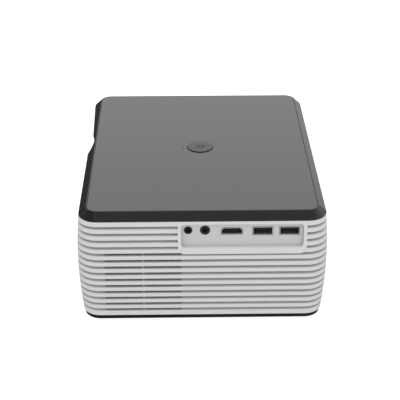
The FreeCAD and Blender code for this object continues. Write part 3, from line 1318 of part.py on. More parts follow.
# ---- nodes ------------------------------------------------------------------------------------
def build_nodes():
    """Every node of the model."""
    return {
        "body_shell": body_shell(), "lid_frame": lid_frame(), "top_plate": top_plate(), "base_cover": base_cover(),
        "rubber_feet": rubber_feet(), "case_screws": case_screws(), "adjust_foot": adjust_foot(),
        "foot_stop_ring": foot_stop_ring(), "power_button": power_button(), "power_symbol": power_symbol(),
        "key_board": key_board(), "tact_switch": tact_switch(), "status_light": status_light(),
        "port_panel": port_panel(), "port_board": port_board(), "usb_shells": usb_shells(),
        "usb_tongues": usb_tongues(), "hdmi_shell": hdmi_shell(), "hdmi_tongue": hdmi_tongue(),
        "audio_jack": round_jack(AUDIO_X, AUDIO_R), "video_jack": round_jack(VIDEO_X, VIDEO_R),
        "lens_bay": lens_bay(), "front_apron": front_apron(), "ir_window": ir_window(), "focus_ring": focus_ring(),
        "lens_barrel": lens_barrel(), "lens_elements": lens_elements(), "lens_mount": lens_mount(),
        "optical_box": optical_box(), "field_fresnel": plate_block(FRESNEL_AT, PLASTIC_LENS_T, 0),
        "lcd_panel": plate_block(LCD_AT, LCD_T, 0), "rear_fresnel": plate_block(REAR_FRESNEL_AT, PLASTIC_LENS_T, 0),
        "heat_glass": plate_block(HEAT_GLASS_AT, GLASS_T, 0), "condenser_lens": condenser_lens(),
        "led_module": led_module(), "heatsink": heatsink(),
        "exhaust_fan": seat_exhaust(fan_frame(EXHAUST_SIZE, EXHAUST_T)),
        "exhaust_rotor": seat_exhaust(fan_rotor(EXHAUST_SIZE, EXHAUST_T)),
        "intake_fan": seat_intake(fan_frame(INTAKE_SIZE, INTAKE_T)),
        "intake_rotor": seat_intake(fan_rotor(INTAKE_SIZE, INTAKE_T)),
        "main_board": main_board(), "power_board": power_board(), "ac_inlet": ac_inlet(), "ac_pins": ac_pins(),
        "speaker": speaker(), "speaker_cone": speaker_cone(), "drive_chassis": drive_chassis(),
        "drive_cover": drive_cover(), "drive_posts": drive_posts(), "disc_tray": disc_tray(),
        "tray_bezel": tray_bezel(), "eject_button": eject_button(), "tray_rails": tray_rails(),
        "traverse_plate": traverse_plate(), "spindle_motor": spindle_motor(), "spindle_hub": spindle_hub(),
        "pickup_sled": pickup_sled(), "guide_rods": guide_rods(), "lead_screw": lead_screw(),
        "sled_motor": sled_motor(),
    }


def main():
    """Writes one STEP file per node."""
    os.makedirs("parts", exist_ok=True)
    for name, shape in build_nodes().items():
        shape.exportStep("parts/" + name + ".step")


main()
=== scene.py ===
"""Finishes, small fittings and stage of the portable disc projector, around its loaded model."""
import json
import math

import bpy
from bpy.props import FloatProperty, FloatVectorProperty, PointerProperty
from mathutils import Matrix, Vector

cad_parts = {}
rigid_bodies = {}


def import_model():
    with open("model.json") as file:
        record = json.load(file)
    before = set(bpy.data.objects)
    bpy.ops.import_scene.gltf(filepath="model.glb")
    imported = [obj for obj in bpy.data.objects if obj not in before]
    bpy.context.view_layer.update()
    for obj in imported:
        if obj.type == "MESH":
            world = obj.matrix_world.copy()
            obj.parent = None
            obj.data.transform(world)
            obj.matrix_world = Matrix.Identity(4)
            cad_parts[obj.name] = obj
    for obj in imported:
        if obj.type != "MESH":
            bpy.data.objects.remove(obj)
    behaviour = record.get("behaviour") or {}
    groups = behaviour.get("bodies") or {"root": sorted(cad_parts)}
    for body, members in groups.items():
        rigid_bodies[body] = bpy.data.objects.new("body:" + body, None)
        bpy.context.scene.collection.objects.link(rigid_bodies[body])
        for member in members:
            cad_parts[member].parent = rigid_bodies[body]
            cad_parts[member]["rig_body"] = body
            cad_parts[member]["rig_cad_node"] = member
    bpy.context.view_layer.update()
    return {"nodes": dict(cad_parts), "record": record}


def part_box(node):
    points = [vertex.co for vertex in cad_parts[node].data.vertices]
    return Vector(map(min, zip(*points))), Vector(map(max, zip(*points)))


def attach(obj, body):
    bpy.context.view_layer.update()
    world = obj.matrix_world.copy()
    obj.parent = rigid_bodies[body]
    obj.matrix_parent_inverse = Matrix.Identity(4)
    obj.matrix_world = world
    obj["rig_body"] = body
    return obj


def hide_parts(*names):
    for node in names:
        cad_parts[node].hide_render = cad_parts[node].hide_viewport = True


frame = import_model()
NODES = frame["nodes"]

bl_info = {
    "name": "Disc projector finishes",
    "version": (1, 0, 0),
    "blender": (4, 5, 0),
    "location": "3D View > Sidebar > Projector",
    "description": "Finishes, fittings and studio stage of a portable disc projector",
    "category": "Object",
}

MM = 0.001


def colour(name, description, default):
    """Colour setting."""
    return FloatVectorProperty(name=name, description=description, subtype="COLOR",
                               size=3, min=0, max=1, default=default)


def length(name, description, default):
    """Length setting in metres."""
    return FloatProperty(name=name, description=description, unit="LENGTH", default=default)


# ---- settings ---------------------------------------------------------------------------------
class ProjectorSizes(bpy.types.PropertyGroup):
    """Sizes of what is added to the model."""
    rib_round: length("Rib rounding", "Radius of the ribs' edges", 0.35 * MM)
    lid_round: length("Lid rounding", "Radius of the lid's and the plate's edges", 0.25 * MM)
    trim_round: length("Trim rounding", "Radius of the small moulded pieces' edges", 0.15 * MM)
    sheet_round: length("Sheet rounding", "Radius of sheet metal edges", 0.06 * MM)


class ProjectorColours(bpy.types.PropertyGroup):
    """Colours of the finishes."""
    wall: colour("Wall", "White ribbed wall", (0.6, 0.6, 0.605))
    # The socket panel's darker tone is painted shade: the wall's white plastic, darkened for the
    # shade in its recess.
    panel: colour("Socket panel", "Panel behind the sockets", (0.52, 0.52, 0.525))
    lid: colour("Lid", "Black bevelled lid", (0.012, 0.012, 0.013))
    plate: colour("Plate", "Top plate", (0.045, 0.045, 0.046))
    base: colour("Base", "Black base", (0.006, 0.006, 0.006))
    board: colour("Circuit board", "Solder resist", (0.02, 0.13, 0.06))
    symbol: colour("Symbol", "Unlit symbol on the button", (0.004, 0.004, 0.004))


SETTING_GROUPS = (ProjectorSizes, ProjectorColours)


def sizes():
    """Sizes in use."""
    return bpy.context.scene.projector_sizes


def colours():
    """Colours in use."""
    return bpy.context.scene.projector_colours


# ---- materials --------------------------------------------------------------------------------
GRAIN_DEPTH = 0.2 * MM          # height of a moulded grain at a bump's full strength
POLISH_DEPTH = 0.1 * MM         # the same for metal and for high gloss
METAL_GRAIN = 0.05              # strength of the bump of rolled metal
METAL_SHADE = (0.88, 1.08)      # tint's share in its dark streaks and in its light ones
GLOSS_WAVE = 0.003              # strength of the waviness of high gloss
GLOSS_DULL = 0.06               # roughness that dust adds to high gloss
GLOSS_DUST = (0.35, 0.75)       # dust, from little to much, that dulls high gloss
GLOSS_FILM = (0.45, 0.9, 1.0, 1.08)     # dust that lightens it, and the tint's share at each
GLASS_FILM = 0.04               # roughness that a film adds to glass
GROOVE_REACH = 5.0 * MM         # how far off the walls of a groove shade a point in it
GROOVE_OPEN = (0.15, 0.75)      # how open a groove is at its bottom and at its rim
GROOVE_PAINTED_SHADE = 0.28              # painted shade: share by which the tint at a groove's bottom is darkened
INTAKE_PAINTED_SHADE = 0.34               # further painted shade at the intake slots, for their dark insides
# Where the model's intake slots are, along X, through their wall along Y, and in height; the
# painted shade is deepest there.
INTAKE_SPANS = ((-67.5 * MM, -42.0 * MM), (-40.2 * MM, -15.0 * MM))
INTAKE_SIDE = (-111.0 * MM, -100.0 * MM)
INTAKE_ROWS = (8.0 * MM, 57.3 * MM)


def node_group(name, inputs, outputs):
    """Empty shader node group with named float or colour sockets."""
    group = bpy.data.node_groups.new(name, "ShaderNodeTree")
    for label, kind, value in inputs:
        socket = group.interface.new_socket(label, in_out="INPUT", socket_type=kind)
        socket.default_value = value
    for label, kind in outputs:
        group.interface.new_socket(label, in_out="OUTPUT", socket_type=kind)
    return group, group.nodes.new("NodeGroupInput"), group.nodes.new("NodeGroupOutput")


def add_node(tree, kind, links=(), **settings):
    """Node with its settings and its incoming links."""
    node = tree.nodes.new(kind)
    for key, value in settings.items():
        if hasattr(node, key):
            setattr(node, key, value)
        else:
            node.inputs[key.replace("_", " ")].default_value = value
    for socket, source in links:
        tree.links.new(source, node.inputs[socket])
    return node


def feed(tree, socket, value):
    """Gives a socket the output of another node, or a number or colour of its own."""
    if isinstance(value, bpy.types.NodeSocket):
        tree.links.new(value, socket)
    else:
        socket.default_value = value


def ranged(tree, value, low, high, to_low, to_high):
    """Value mapped from one range to another, clamped."""
    node = add_node(tree, "ShaderNodeMapRange", [("Value", value)])
    for label, amount in (("From Min", low), ("From Max", high),
                          ("To Min", to_low), ("To Max", to_high)):
        node.inputs[label].default_value = amount
    return node.outputs[0]


def combined(tree, operation, first, second):
    """Two values worked on by one Math node."""
    node = add_node(tree, "ShaderNodeMath", operation=operation)
    feed(tree, node.inputs[0], first)
    feed(tree, node.inputs[1], second)
    return node.outputs[0]


def mixed(tree, factor, first, second):
    """First value where the factor is zero, and the second where it is one."""
    node = add_node(tree, "ShaderNodeMix", [(0, factor)])
    feed(tree, node.inputs[2], first)
    feed(tree, node.inputs[3], second)
    return node.outputs[0]


def scaled(tree, tint, amount):
    """Colour times an amount that changes over the surface."""
    node = add_node(tree, "ShaderNodeVectorMath", [("Scale", amount)], operation="SCALE")
    feed(tree, node.inputs[0], tint)
    return node.outputs[0]


def within(tree, value, span):
    """One where a value lies between two limits, and zero elsewhere."""
    node = add_node(tree, "ShaderNodeMath", [(0, value)], operation="COMPARE")
    node.inputs[1].default_value = (span[0] + span[1]) / 2
    node.inputs[2].default_value = (span[1] - span[0]) / 2
    return node.outputs[0]


def object_place(tree):
    """Place on the piece, in its own coordinates."""
    return add_node(tree, "ShaderNodeTexCoord").outputs["Object"]


def noise(tree, place, **settings):
    """Noise over the surface, from zero to one."""
    return add_node(tree, "ShaderNodeTexNoise", [("Vector", place)], **settings).outputs["Fac"]


def grain_group():
    """Fine moulded grain: a height for a bump, and a tint that drifts a little over the surface."""
    group, start, end = node_group(
        "moulded_grain",
        [("Scale", "NodeSocketFloat", 900.0), ("Drift", "NodeSocketFloat", 0.03),
         ("Color", "NodeSocketColor", (1, 1, 1, 1)), ("Roughness", "NodeSocketFloat", 0.4)],
        [("Height", "NodeSocketFloat"), ("Color", "NodeSocketColor"),
         ("Roughness", "NodeSocketFloat")])
    place = object_place(group)
    fine = add_node(group, "ShaderNodeTexNoise",
                    [("Vector", place), ("Scale", start.outputs["Scale"])], Detail=2.0)
    swing = combined(group, "SUBTRACT", noise(group, place, Scale=28.0, Detail=3.0), 0.5)
    amount = combined(group, "MULTIPLY", swing, start.outputs["Drift"])
    tint = scaled(group, start.outputs["Color"], combined(group, "ADD", amount, 1.0))
    rough = combined(group, "ADD", start.outputs["Roughness"], amount)
    group.links.new(fine.outputs["Fac"], end.inputs["Height"])
    group.links.new(tint, end.inputs["Color"])
    group.links.new(rough, end.inputs["Roughness"])


def brushed_group():
    """Stretched grain of rolled or ground metal along one axis."""
    group, start, end = node_group(
        "rolled_grain",
        [("Stretch", "NodeSocketVector", (1, 1, 1)), ("Scale", "NodeSocketFloat", 600.0)],
        [("Height", "NodeSocketFloat"), ("Fac", "NodeSocketFloat")])
    drawn = add_node(group, "ShaderNodeVectorMath",
                     [(0, object_place(group)), (1, start.outputs["Stretch"])],
                     operation="MULTIPLY")
    streaks = add_node(group, "ShaderNodeTexNoise",
                       [("Vector", drawn.outputs[0]), ("Scale", start.outputs["Scale"])],
                       Detail=3.0)
    group.links.new(streaks.outputs["Fac"], end.inputs["Height"])
    group.links.new(streaks.outputs["Fac"], end.inputs["Fac"])


def shader(name, **settings):
    """New material with its Principled shader's constants set."""
    material = bpy.data.materials.new(name)
    material.use_nodes = True
    principled = material.node_tree.nodes["Principled BSDF"]
    for key, value in settings.items():
        principled.inputs[key.replace("_", " ")].default_value = value
    return material, principled


def surfaced(material, principled, tint, roughness, height, strength, depth):
    """Material with a tint, a roughness and a bump that change over the surface."""
    tree = material.node_tree
    bump = add_node(tree, "ShaderNodeBump", [("Height", height)], Strength=strength, Distance=depth)
    tree.links.new(tint, principled.inputs["Base Color"])
    tree.links.new(roughness, principled.inputs["Roughness"])
    tree.links.new(bump.outputs["Normal"], principled.inputs["Normal"])
    return material


def painted_groove_shade(tree, tint):
    """Tint darkened by painted shade in the wall's grooves, driven by ambient occlusion, and darker
    still at the intake slots.
    """
    hollow = add_node(tree, "ShaderNodeAmbientOcclusion", samples=8, only_local=True,
                      Distance=GROOVE_REACH)
    depth = ranged(tree, hollow.outputs["AO"], *GROOVE_OPEN, 1.0, 0.0)
    place = add_node(tree, "ShaderNodeSeparateXYZ", [(0, object_place(tree))])
    slots = combined(tree, "ADD",
                     *(within(tree, place.outputs["X"], span) for span in INTAKE_SPANS))
    for label, span in (("Y", INTAKE_SIDE), ("Z", INTAKE_ROWS)):
        slots = combined(tree, "MULTIPLY", slots, within(tree, place.outputs[label], span))
    # Painted shade: the tint loses this share at a groove's bottom, and more at the intake slots.
    painted_share = combined(tree, "ADD", combined(tree, "MULTIPLY", slots, INTAKE_PAINTED_SHADE), GROOVE_PAINTED_SHADE)
    kept = combined(tree, "SUBTRACT", 1.0, combined(tree, "MULTIPLY", depth, painted_share))
    return scaled(tree, tint, kept)


def moulded(name, tint, roughness, grain=900.0, depth=0.02, drift=0.03, shade_grooves=False, **settings):
    """Moulded plastic, rubber or paint with a fine grain, and with painted shade in any grooves
    when asked.
    """
    material, principled = shader(name, **settings)
    tree = material.node_tree
    group = add_node(tree, "ShaderNodeGroup", node_tree=bpy.data.node_groups["moulded_grain"],
                     Scale=grain, Drift=drift, Color=(*tint, 1), Roughness=roughness)
    shade = painted_groove_shade(tree, group.outputs["Color"]) if shade_grooves else group.outputs["Color"]
    return surfaced(material, principled, shade, group.outputs["Roughness"],
                    group.outputs["Height"], depth, GRAIN_DEPTH)


def metal(name, tint, roughness, stretch=(1, 0.02, 1), scale=600.0, swing=0.1, metallic=1.0):
    """Rolled, pressed or ground metal."""
    material, principled = shader(name, Metallic=metallic)
    tree = material.node_tree
    group = add_node(tree, "ShaderNodeGroup", node_tree=bpy.data.node_groups["rolled_grain"],
                     Stretch=stretch, Scale=scale)
    shade = scaled(tree, tint, ranged(tree, group.outputs["Fac"], 0.0, 1.0, *METAL_SHADE))
    rough = ranged(tree, group.outputs["Fac"], 0.0, 1.0, roughness - swing, roughness + swing)
    return surfaced(material, principled, shade, rough, group.outputs["Height"],
                    METAL_GRAIN, POLISH_DEPTH)


def glossy(name, tint, roughness):
    """High gloss moulding: almost smooth, with a faint waviness and a little dust."""
    material, principled = shader(name)
    tree = material.node_tree
    place = object_place(tree)
    dust = noise(tree, place, Scale=140.0, Detail=6.0, Roughness=0.7)
    shade = scaled(tree, tint, ranged(tree, dust, *GLOSS_FILM))
    rough = ranged(tree, dust, *GLOSS_DUST, roughness, roughness + GLOSS_DULL)
    wave = noise(tree, place, Scale=25.0, Detail=1.0)
    return surfaced(material, principled, shade, rough, wave, GLOSS_WAVE, POLISH_DEPTH)


def clear_glass(name, tint, roughness):
    """Coated glass or clear sheet, with a faint film."""
    material, principled = shader(name, Base_Color=(*tint, 1), Transmission_Weight=1.0, IOR=1.5)
    tree = material.node_tree
    film = noise(tree, object_place(tree), Scale=60.0, Detail=4.0)
    rough = ranged(tree, film, 0.0, 1.0, roughness, roughness + GLASS_FILM)
    tree.links.new(rough, principled.inputs["Roughness"])
    return material


def build_finishes():
    """One material for each material slot of the record."""
    grain_group()
    brushed_group()
    tints = colours()
    return {
        # The white wall gets painted shade in its grooves.
        "body_white": moulded("white_moulding", tints.wall, 0.42, grain=1400, depth=0.03,
                              drift=0.02, shade_grooves=True),
        "lid_black": glossy("lid_gloss", tints.lid, 0.06),
        "plate_grey": glossy("plate_gloss", tints.plate, 0.07),
        "base_black": moulded("base_moulding", tints.base, 0.45, grain=1100, depth=0.06),
        "rubber": moulded("foot_rubber", (0.03, 0.03, 0.03), 0.8, grain=500, depth=0.12),
        "screw_steel": metal("plated_steel", (0.42, 0.42, 0.43), 0.35, stretch=(1, 1, 0.1)),
        "bay_black": glossy("bay_gloss", (0.012, 0.012, 0.013), 0.08),
        "ir_dark": glossy("infrared_window", (0.03, 0.006, 0.008), 0.05),
        "ring_black": moulded("ring_moulding", (0.02, 0.02, 0.021), 0.38, grain=1500, depth=0.05),
        "inner_black": moulded("inner_moulding", (0.022, 0.022, 0.023), 0.55, grain=900,
                               depth=0.06),
        "symbol_light": moulded("light_pipe", tints.symbol, 0.5, grain=700, depth=0.01,
                                Specular_IOR_Level=0.0),
        "board_green": moulded("solder_resist", tints.board, 0.32, grain=260, depth=0.05,
                               drift=0.25),
        "socket_metal": metal("dull_nickel", (0.3, 0.3, 0.305), 0.4, metallic=0.7),
        "socket_black": moulded("socket_moulding", (0.018, 0.018, 0.018), 0.4, grain=1300,
                                depth=0.04),
        "glass": clear_glass("coated_lens", (0.86, 0.9, 0.97), 0.0),
        "clear_sheet": clear_glass("clear_sheet", (0.95, 0.97, 0.97), 0.05),
        "panel_dark": glossy("picture_panel", (0.05, 0.06, 0.075), 0.12),
        "led_white": moulded("light_board", (0.78, 0.78, 0.68), 0.4, grain=600, depth=0.03),
        "sink_alloy": metal("extruded_alloy", (0.8, 0.81, 0.82), 0.4, stretch=(0.02, 1, 1)),
        "fan_black": moulded("fan_moulding", (0.02, 0.02, 0.021), 0.42, grain=1200, depth=0.04),
        "drive_steel": metal("pressed_sheet", (0.62, 0.63, 0.64), 0.38, stretch=(1, 0.05, 1),
                             scale=300),
        "tray_black": moulded("tray_moulding", (0.03, 0.03, 0.032), 0.5, grain=1300, depth=0.08),
        "rod_steel": metal("ground_steel", (0.75, 0.75, 0.76), 0.18, swing=0.06),
        "cone_paper": moulded("cone_pulp", (0.05, 0.05, 0.05), 0.85, grain=350, depth=0.25,
                              drift=0.2),
        "pin_metal": metal("plated_pin", (0.78, 0.68, 0.42), 0.25, swing=0.05),
    }


def finish_nodes(materials):
    """Gives every node the material of its slot, and the socket panel a darker copy of the white
    moulding, as painted shade for its recess.
    """
    for entry in frame["record"]["subparts"]:
        mesh = NODES[entry["node"]].data
        mesh.materials.clear()
        mesh.materials.append(materials[entry["material_slot"]])
    # Painted shade: the panel is the wall's white plastic, tinted darker for the shade in its
    # recess.
    panel = NODES["port_panel"].data
    panel.materials.clear()
    panel.materials.append(
        moulded("panel_moulding", colours().panel, 0.45, grain=1400, depth=0.03, drift=0.02))


def body_of(node):
    """Body that a node belongs to."""
    return next(name for name, nodes in frame["record"]["behaviour"]["bodies"].items()
                if node in nodes)


class PROJECTOR_OT_finishes(bpy.types.Operator):
    """Gives every node of the model its finish"""
    bl_idname = "projector.finishes"
    bl_label = "Finishes"

    def execute(self, context):
        finish_nodes(build_finishes())
        return {"FINISHED"}


# ---- stage ------------------------------------------------------------------------------------
CAMERA_PLACE = (-0.0143, -0.8019, 0.4525)
CAMERA_DOWN = math.radians(27.15)
CAMERA_TURN = math.radians(-1.02)
CAMERA_LENS = 104.9
CAMERA_SENSOR = 36.0
CAMERA_NEAR = 10 * MM
AIM = Vector((0, 0, 0.05))
LAMPS = (                       # name, place, power, side
    ("lamp_left", (-1.0, -1.5, 0.6), 1.5, 0.6),
    ("lamp_right", (1.0, -1.5, 0.6), 1.5, 0.6),
    ("lamp_top", (0.0, 0.3, 1.8), 3.0, 1.0),
)
FLOOR_SIDE = 8.0
FLOOR_DROP = 0.2 * MM           # floor below the feet
FLOOR_PAPER = (0.25, 0.03)      # tone of the floor, and its tone in reflections
FLOOR_GLOW = (0.72, 0.92)       # glow of the floor on the object, and to the camera
# Each of these is two places and the strength at each: floor places in metres, room
# places as parts of a direction.
FLOOR_BACKWARDS = (0.5, 0.72, 0.33, 0.58)   # floor in reflections, front to back
FLOOR_SIDEWAYS = (-0.1, 0.2, 0.0, 1.0)      # share of it that remains, left to right
ROOM_LIGHT = (0.1, 0.9, 0.55, 1.65)         # room's light on the object, low to high
ROOM_ABOVE = (0.5, 0.85, 1.15, 0.35)        # room in reflections, wall to overhead
ROOM_LEFT = (-0.4, -0.28, 0.2, 1.0)         # share of it that remains, left to right
ROOM_LOW = (-0.3, 0.3, 0.02, 0.33)          # its low part in reflections, left to right
ROOM_RISE = (0.1, 0.3, 0.0, 1.0)            # share of the wall over the low part, by height


def direct_rays(tree, light):
    """One for what the camera sees, straight or through glass, and zero for other rays."""
    return combined(tree, "MAXIMUM", light.outputs["Is Camera Ray"],
                    light.outputs["Is Transmission Ray"])


def stage_floor():
    """Floor, white to the camera, that keeps the soft shadow and reflects mostly on the right."""
    bpy.ops.mesh.primitive_plane_add(size=FLOOR_SIDE, location=(0, 0, -FLOOR_DROP))
    floor = bpy.context.object
    floor.name = "floor"
    material, principled = shader("floor_paper", Roughness=0.9, Emission_Color=(1, 1, 1, 1))
    tree = material.node_tree
    light = add_node(tree, "ShaderNodeLightPath")
    gloss = light.outputs["Is Glossy Ray"]
    place = add_node(tree, "ShaderNodeSeparateXYZ", [(0, object_place(tree))])
    reflected = combined(tree, "MULTIPLY", ranged(tree, place.outputs["X"], *FLOOR_SIDEWAYS),
                         ranged(tree, place.outputs["Y"], *FLOOR_BACKWARDS))
    seen = ranged(tree, direct_rays(tree, light), 0.0, 1.0, *FLOOR_GLOW)
    tree.links.new(ranged(tree, gloss, 0.0, 1.0, *FLOOR_PAPER), principled.inputs["Base Color"])
    tree.links.new(mixed(tree, gloss, seen, reflected), principled.inputs["Emission Strength"])
    floor.data.materials.append(material)


def stage_world():
    """White to the camera; in reflections bright behind, dim overhead and dark low left."""
    world = bpy.data.worlds.new("studio")
    bpy.context.scene.world = world
    world.use_nodes = True
    tree = world.node_tree
    background = tree.nodes["Background"]
    light = add_node(tree, "ShaderNodeLightPath")
    around = add_node(tree, "ShaderNodeTexCoord").outputs["Generated"]
    place = add_node(tree, "ShaderNodeSeparateXYZ", [(0, around)])
    height, across = place.outputs["Z"], place.outputs["X"]
    high = combined(tree, "MULTIPLY", ranged(tree, height, *ROOM_ABOVE),
                    ranged(tree, across, *ROOM_LEFT))
    low = ranged(tree, across, *ROOM_LOW)
    reflected = mixed(tree, ranged(tree, height, *ROOM_RISE), low, high)
    lit = ranged(tree, height, *ROOM_LIGHT)
    unseen = mixed(tree, light.outputs["Is Glossy Ray"], lit, reflected)
    whole = mixed(tree, direct_rays(tree, light), unseen, 1.0)
    tree.links.new(whole, background.inputs["Strength"])
    background.inputs["Color"].default_value = (1, 1, 1, 1)


def stage_lamp(name, place, power, side):
    """Square soft lamp aimed at the object."""
    turn = (AIM - Vector(place)).to_track_quat("-Z", "Y").to_euler()
    bpy.ops.object.light_add(type="AREA", location=place, rotation=turn)
    lamp = bpy.context.object
    lamp.name = name
    lamp.data.energy = power
    lamp.data.size = side
    lamp.visible_glossy = False


def stage_camera():
    """Camera on the socket side, a little above."""
    turn = (math.pi / 2 - CAMERA_DOWN, 0, CAMERA_TURN)
    bpy.ops.object.camera_add(location=CAMERA_PLACE, rotation=turn)
    camera = bpy.context.object
    camera.data.lens = CAMERA_LENS
    camera.data.sensor_width = CAMERA_SENSOR
    camera.data.clip_start = CAMERA_NEAR
    bpy.context.scene.camera = camera


class PROJECTOR_OT_stage(bpy.types.Operator):
    """Adds the floor, the surroundings, the lamps and the camera"""
    bl_idname = "projector.stage"
    bl_label = "Studio stage"

    def execute(self, context):
        context.scene.view_settings.view_transform = "Standard"
        stage_camera()
        stage_floor()
        stage_world()
        for lamp in LAMPS:
            stage_lamp(*lamp)
        return {"FINISHED"}


# ---- softened shells --------------------------------------------------------------------------
SMOOTH_ANGLE = math.radians(35)     # faces that meet at less shade as one
EDGE_ANGLE = math.radians(40)       # edges sharper than this are rounded
FLAT_ANGLE = math.radians(0.5)      # faces that meet at less are one flat face
MERGE_GAP = 0.002 * MM              # points nearer than this are one point
SOFT_PIECES = (                     # node, which rounding, and its steps
    ("body_shell", "rib_round", 3), ("lid_frame", "lid_round", 3),
    ("top_plate", "lid_round", 3), ("base_cover", "lid_round", 2),
    ("port_panel", "trim_round", 2), ("lens_bay", "trim_round", 2),
    ("front_apron", "trim_round", 2), ("focus_ring", "trim_round", 2),
    ("tray_bezel", "lid_round", 3), ("power_button", "trim_round", 2),
    ("eject_button", "trim_round", 2), ("disc_tray", "trim_round", 2),
    ("usb_shells", "sheet_round", 2), ("hdmi_shell", "sheet_round", 2),
    ("adjust_foot", "trim_round", 2), ("rubber_feet", "lid_round", 3),
    ("spindle_hub", "trim_round", 2), ("ac_inlet", "trim_round", 2),
    ("exhaust_fan", "trim_round", 2), ("audio_jack", "trim_round", 2),
    ("video_jack", "trim_round", 2),
)


def only(piece):
    """Makes one object the only selected and active one."""
    bpy.ops.object.select_all(action="DESELECT")
    piece.select_set(True)
    bpy.context.view_layer.objects.active = piece


def node_copy(node, name):
    """Own merged copy of a node's mesh, free of the frame."""
    only(NODES[node])
    bpy.ops.object.duplicate()
    piece = bpy.context.object
    bpy.ops.object.parent_clear(type="CLEAR_KEEP_TRANSFORM")
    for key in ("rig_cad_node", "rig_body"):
        if key in piece:
            del piece[key]
    piece.name = name
    bpy.ops.object.mode_set(mode="EDIT")
    bpy.ops.mesh.select_all(action="SELECT")
    bpy.ops.mesh.remove_doubles(threshold=MERGE_GAP)
    bpy.ops.mesh.dissolve_limited(angle_limit=FLAT_ANGLE)
    bpy.ops.object.mode_set(mode="OBJECT")
    return piece


def round_edges(piece, width, segments):
    """Rounds a piece's sharp edges."""
    bevel = piece.modifiers.new("Round", "BEVEL")
    bevel.width = width
    bevel.segments = segments
    bevel.limit_method = "ANGLE"
    bevel.angle_limit = EDGE_ANGLE
    bevel.use_clamp_overlap = True
    only(piece)
    bpy.ops.object.modifier_apply(modifier=bevel.name)


def finish_piece(piece, body):
    """Smooth shading and the body of a finished piece."""
    only(piece)
    bpy.ops.object.shade_smooth_by_angle(angle=SMOOTH_ANGLE)
    weighted = piece.modifiers.new("Flat faces", "WEIGHTED_NORMAL")
    weighted.keep_sharp = True
    bpy.ops.object.modifier_apply(modifier=weighted.name)
    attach(piece, body)


class PROJECTOR_OT_shells(bpy.types.Operator):
    """Rounds the edges of the moulded shells and of the sheet metal sockets"""
    bl_idname = "projector.shells"
    bl_label = "Softened shells"

    def execute(self, context):
        for node, setting, segments in SOFT_PIECES:
            piece = node_copy(node, node + "_soft")
            round_edges(piece, getattr(sizes(), setting), segments)
            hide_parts(node)
            finish_piece(piece, body_of(node))
        return {"FINISHED"}


# ---- small fittings ---------------------------------------------------------------------------
ROUND_STEPS = 2                 # steps of a small piece's rounded edge
USB_SOCKET_W = 14.0 * MM
USB_CONTACTS = (-3.5 * MM, -1.0 * MM, 1.0 * MM, 3.5 * MM)   # from the socket's middle
USB_CONTACT = Vector((1.2, 7.0, 0.12)) * MM
USB_TONGUE_DOWN = 3.14 * MM     # tongue's underside below the shell's top
HDMI_SHELL_H = 5.6 * MM
HDMI_CONTACT = Vector((0.45, 7.0, 0.1)) * MM
HDMI_PITCH = 1.0 * MM
HDMI_UPPER = 10                 # contacts above the tongue
HDMI_LOWER = 9                  # contacts under the tongue, half a pitch aside
HDMI_TONGUE_DOWN = 3.54 * MM    # tongue's middle below the shell's top
HDMI_TONGUE_HALF = 0.5 * MM
CONTACT_SETBACK = 1.9 * MM      # contacts' front behind the shell's front
CONTACT_EDGE = 0.04 * MM
LIP_W = 0.75 * MM
LIP_T = 0.35 * MM
LIP_OVER = 0.1 * MM             # lip past the shell, both sides together
LIP_PROUD = 0.05 * MM           # lip's front before the shell's front
LIP_ROUND = 0.08 * MM
LIP_CHAMFER = 1.9 * MM          # cut upper corners of the HDMI lip
JACK_BORE_R = 1.8 * MM
JACK_SLEEVE = Vector((0.22, 4.5)) * MM      # wall and depth of a jack's sleeve
JACK_SETBACK = 3.5 * MM         # sleeve's front behind the jack's front
JACK_AXIS_UP = 3.45 * MM        # audio jack's bore above its socket body's underside
LENS_BORE_R = 12.6 * MM
RETAINER = Vector((0.75, 1.1)) * MM         # depth and radial height of the lens ring
RETAINER_BEHIND = 2.65 * MM     # ring's middle behind the barrel's face
RETAINER_ROOM = 0.02 * MM       # gap between the ring and the barrel's bore
RETAINER_EDGE = 0.15 * MM
NOSE_R = 7.4 * MM               # hub's nose, which enters a disc's hole
NOSE_H = 2.0 * MM
HUB_RING_R = 14.0 * MM
HUB_RING = Vector((1.5, 0.24)) * MM         # width and height of the rubber seat
HUB_RING_EDGE = 0.08 * MM
JAW = Vector((0.9, 2.6, 1.0)) * MM
JAW_EDGE = 0.3 * MM
JAWS = 3
TURN_STEPS = 64
TURN_MERGE = 0.001 * MM         # points of a turned ring nearer than this are one point


def finish_of(slot):
    """Material of a slot, from a node that has it."""
    return next(NODES[entry["node"]].data.materials[0] for entry in frame["record"]["subparts"]
                if entry["material_slot"] == slot)


def middle_of(node):
    """Lowest corner, highest corner and middle of a node's box."""
    low, high = (Vector(corner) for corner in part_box(node))
    return low, high, (low + high) / 2


def block(name, middle, dims, edge):
    """Small block with rounded edges."""
    bpy.ops.mesh.primitive_cube_add(size=1, location=middle, scale=dims)
    piece = bpy.context.object
    piece.name = name
    bpy.ops.object.transform_apply(location=True, rotation=True, scale=True)
    bpy.ops.object.mode_set(mode="EDIT")
    bpy.ops.mesh.select_all(action="SELECT")
    bpy.ops.mesh.bevel(offset=edge, segments=ROUND_STEPS, affect="EDGES")
    bpy.ops.object.mode_set(mode="OBJECT")
    return piece


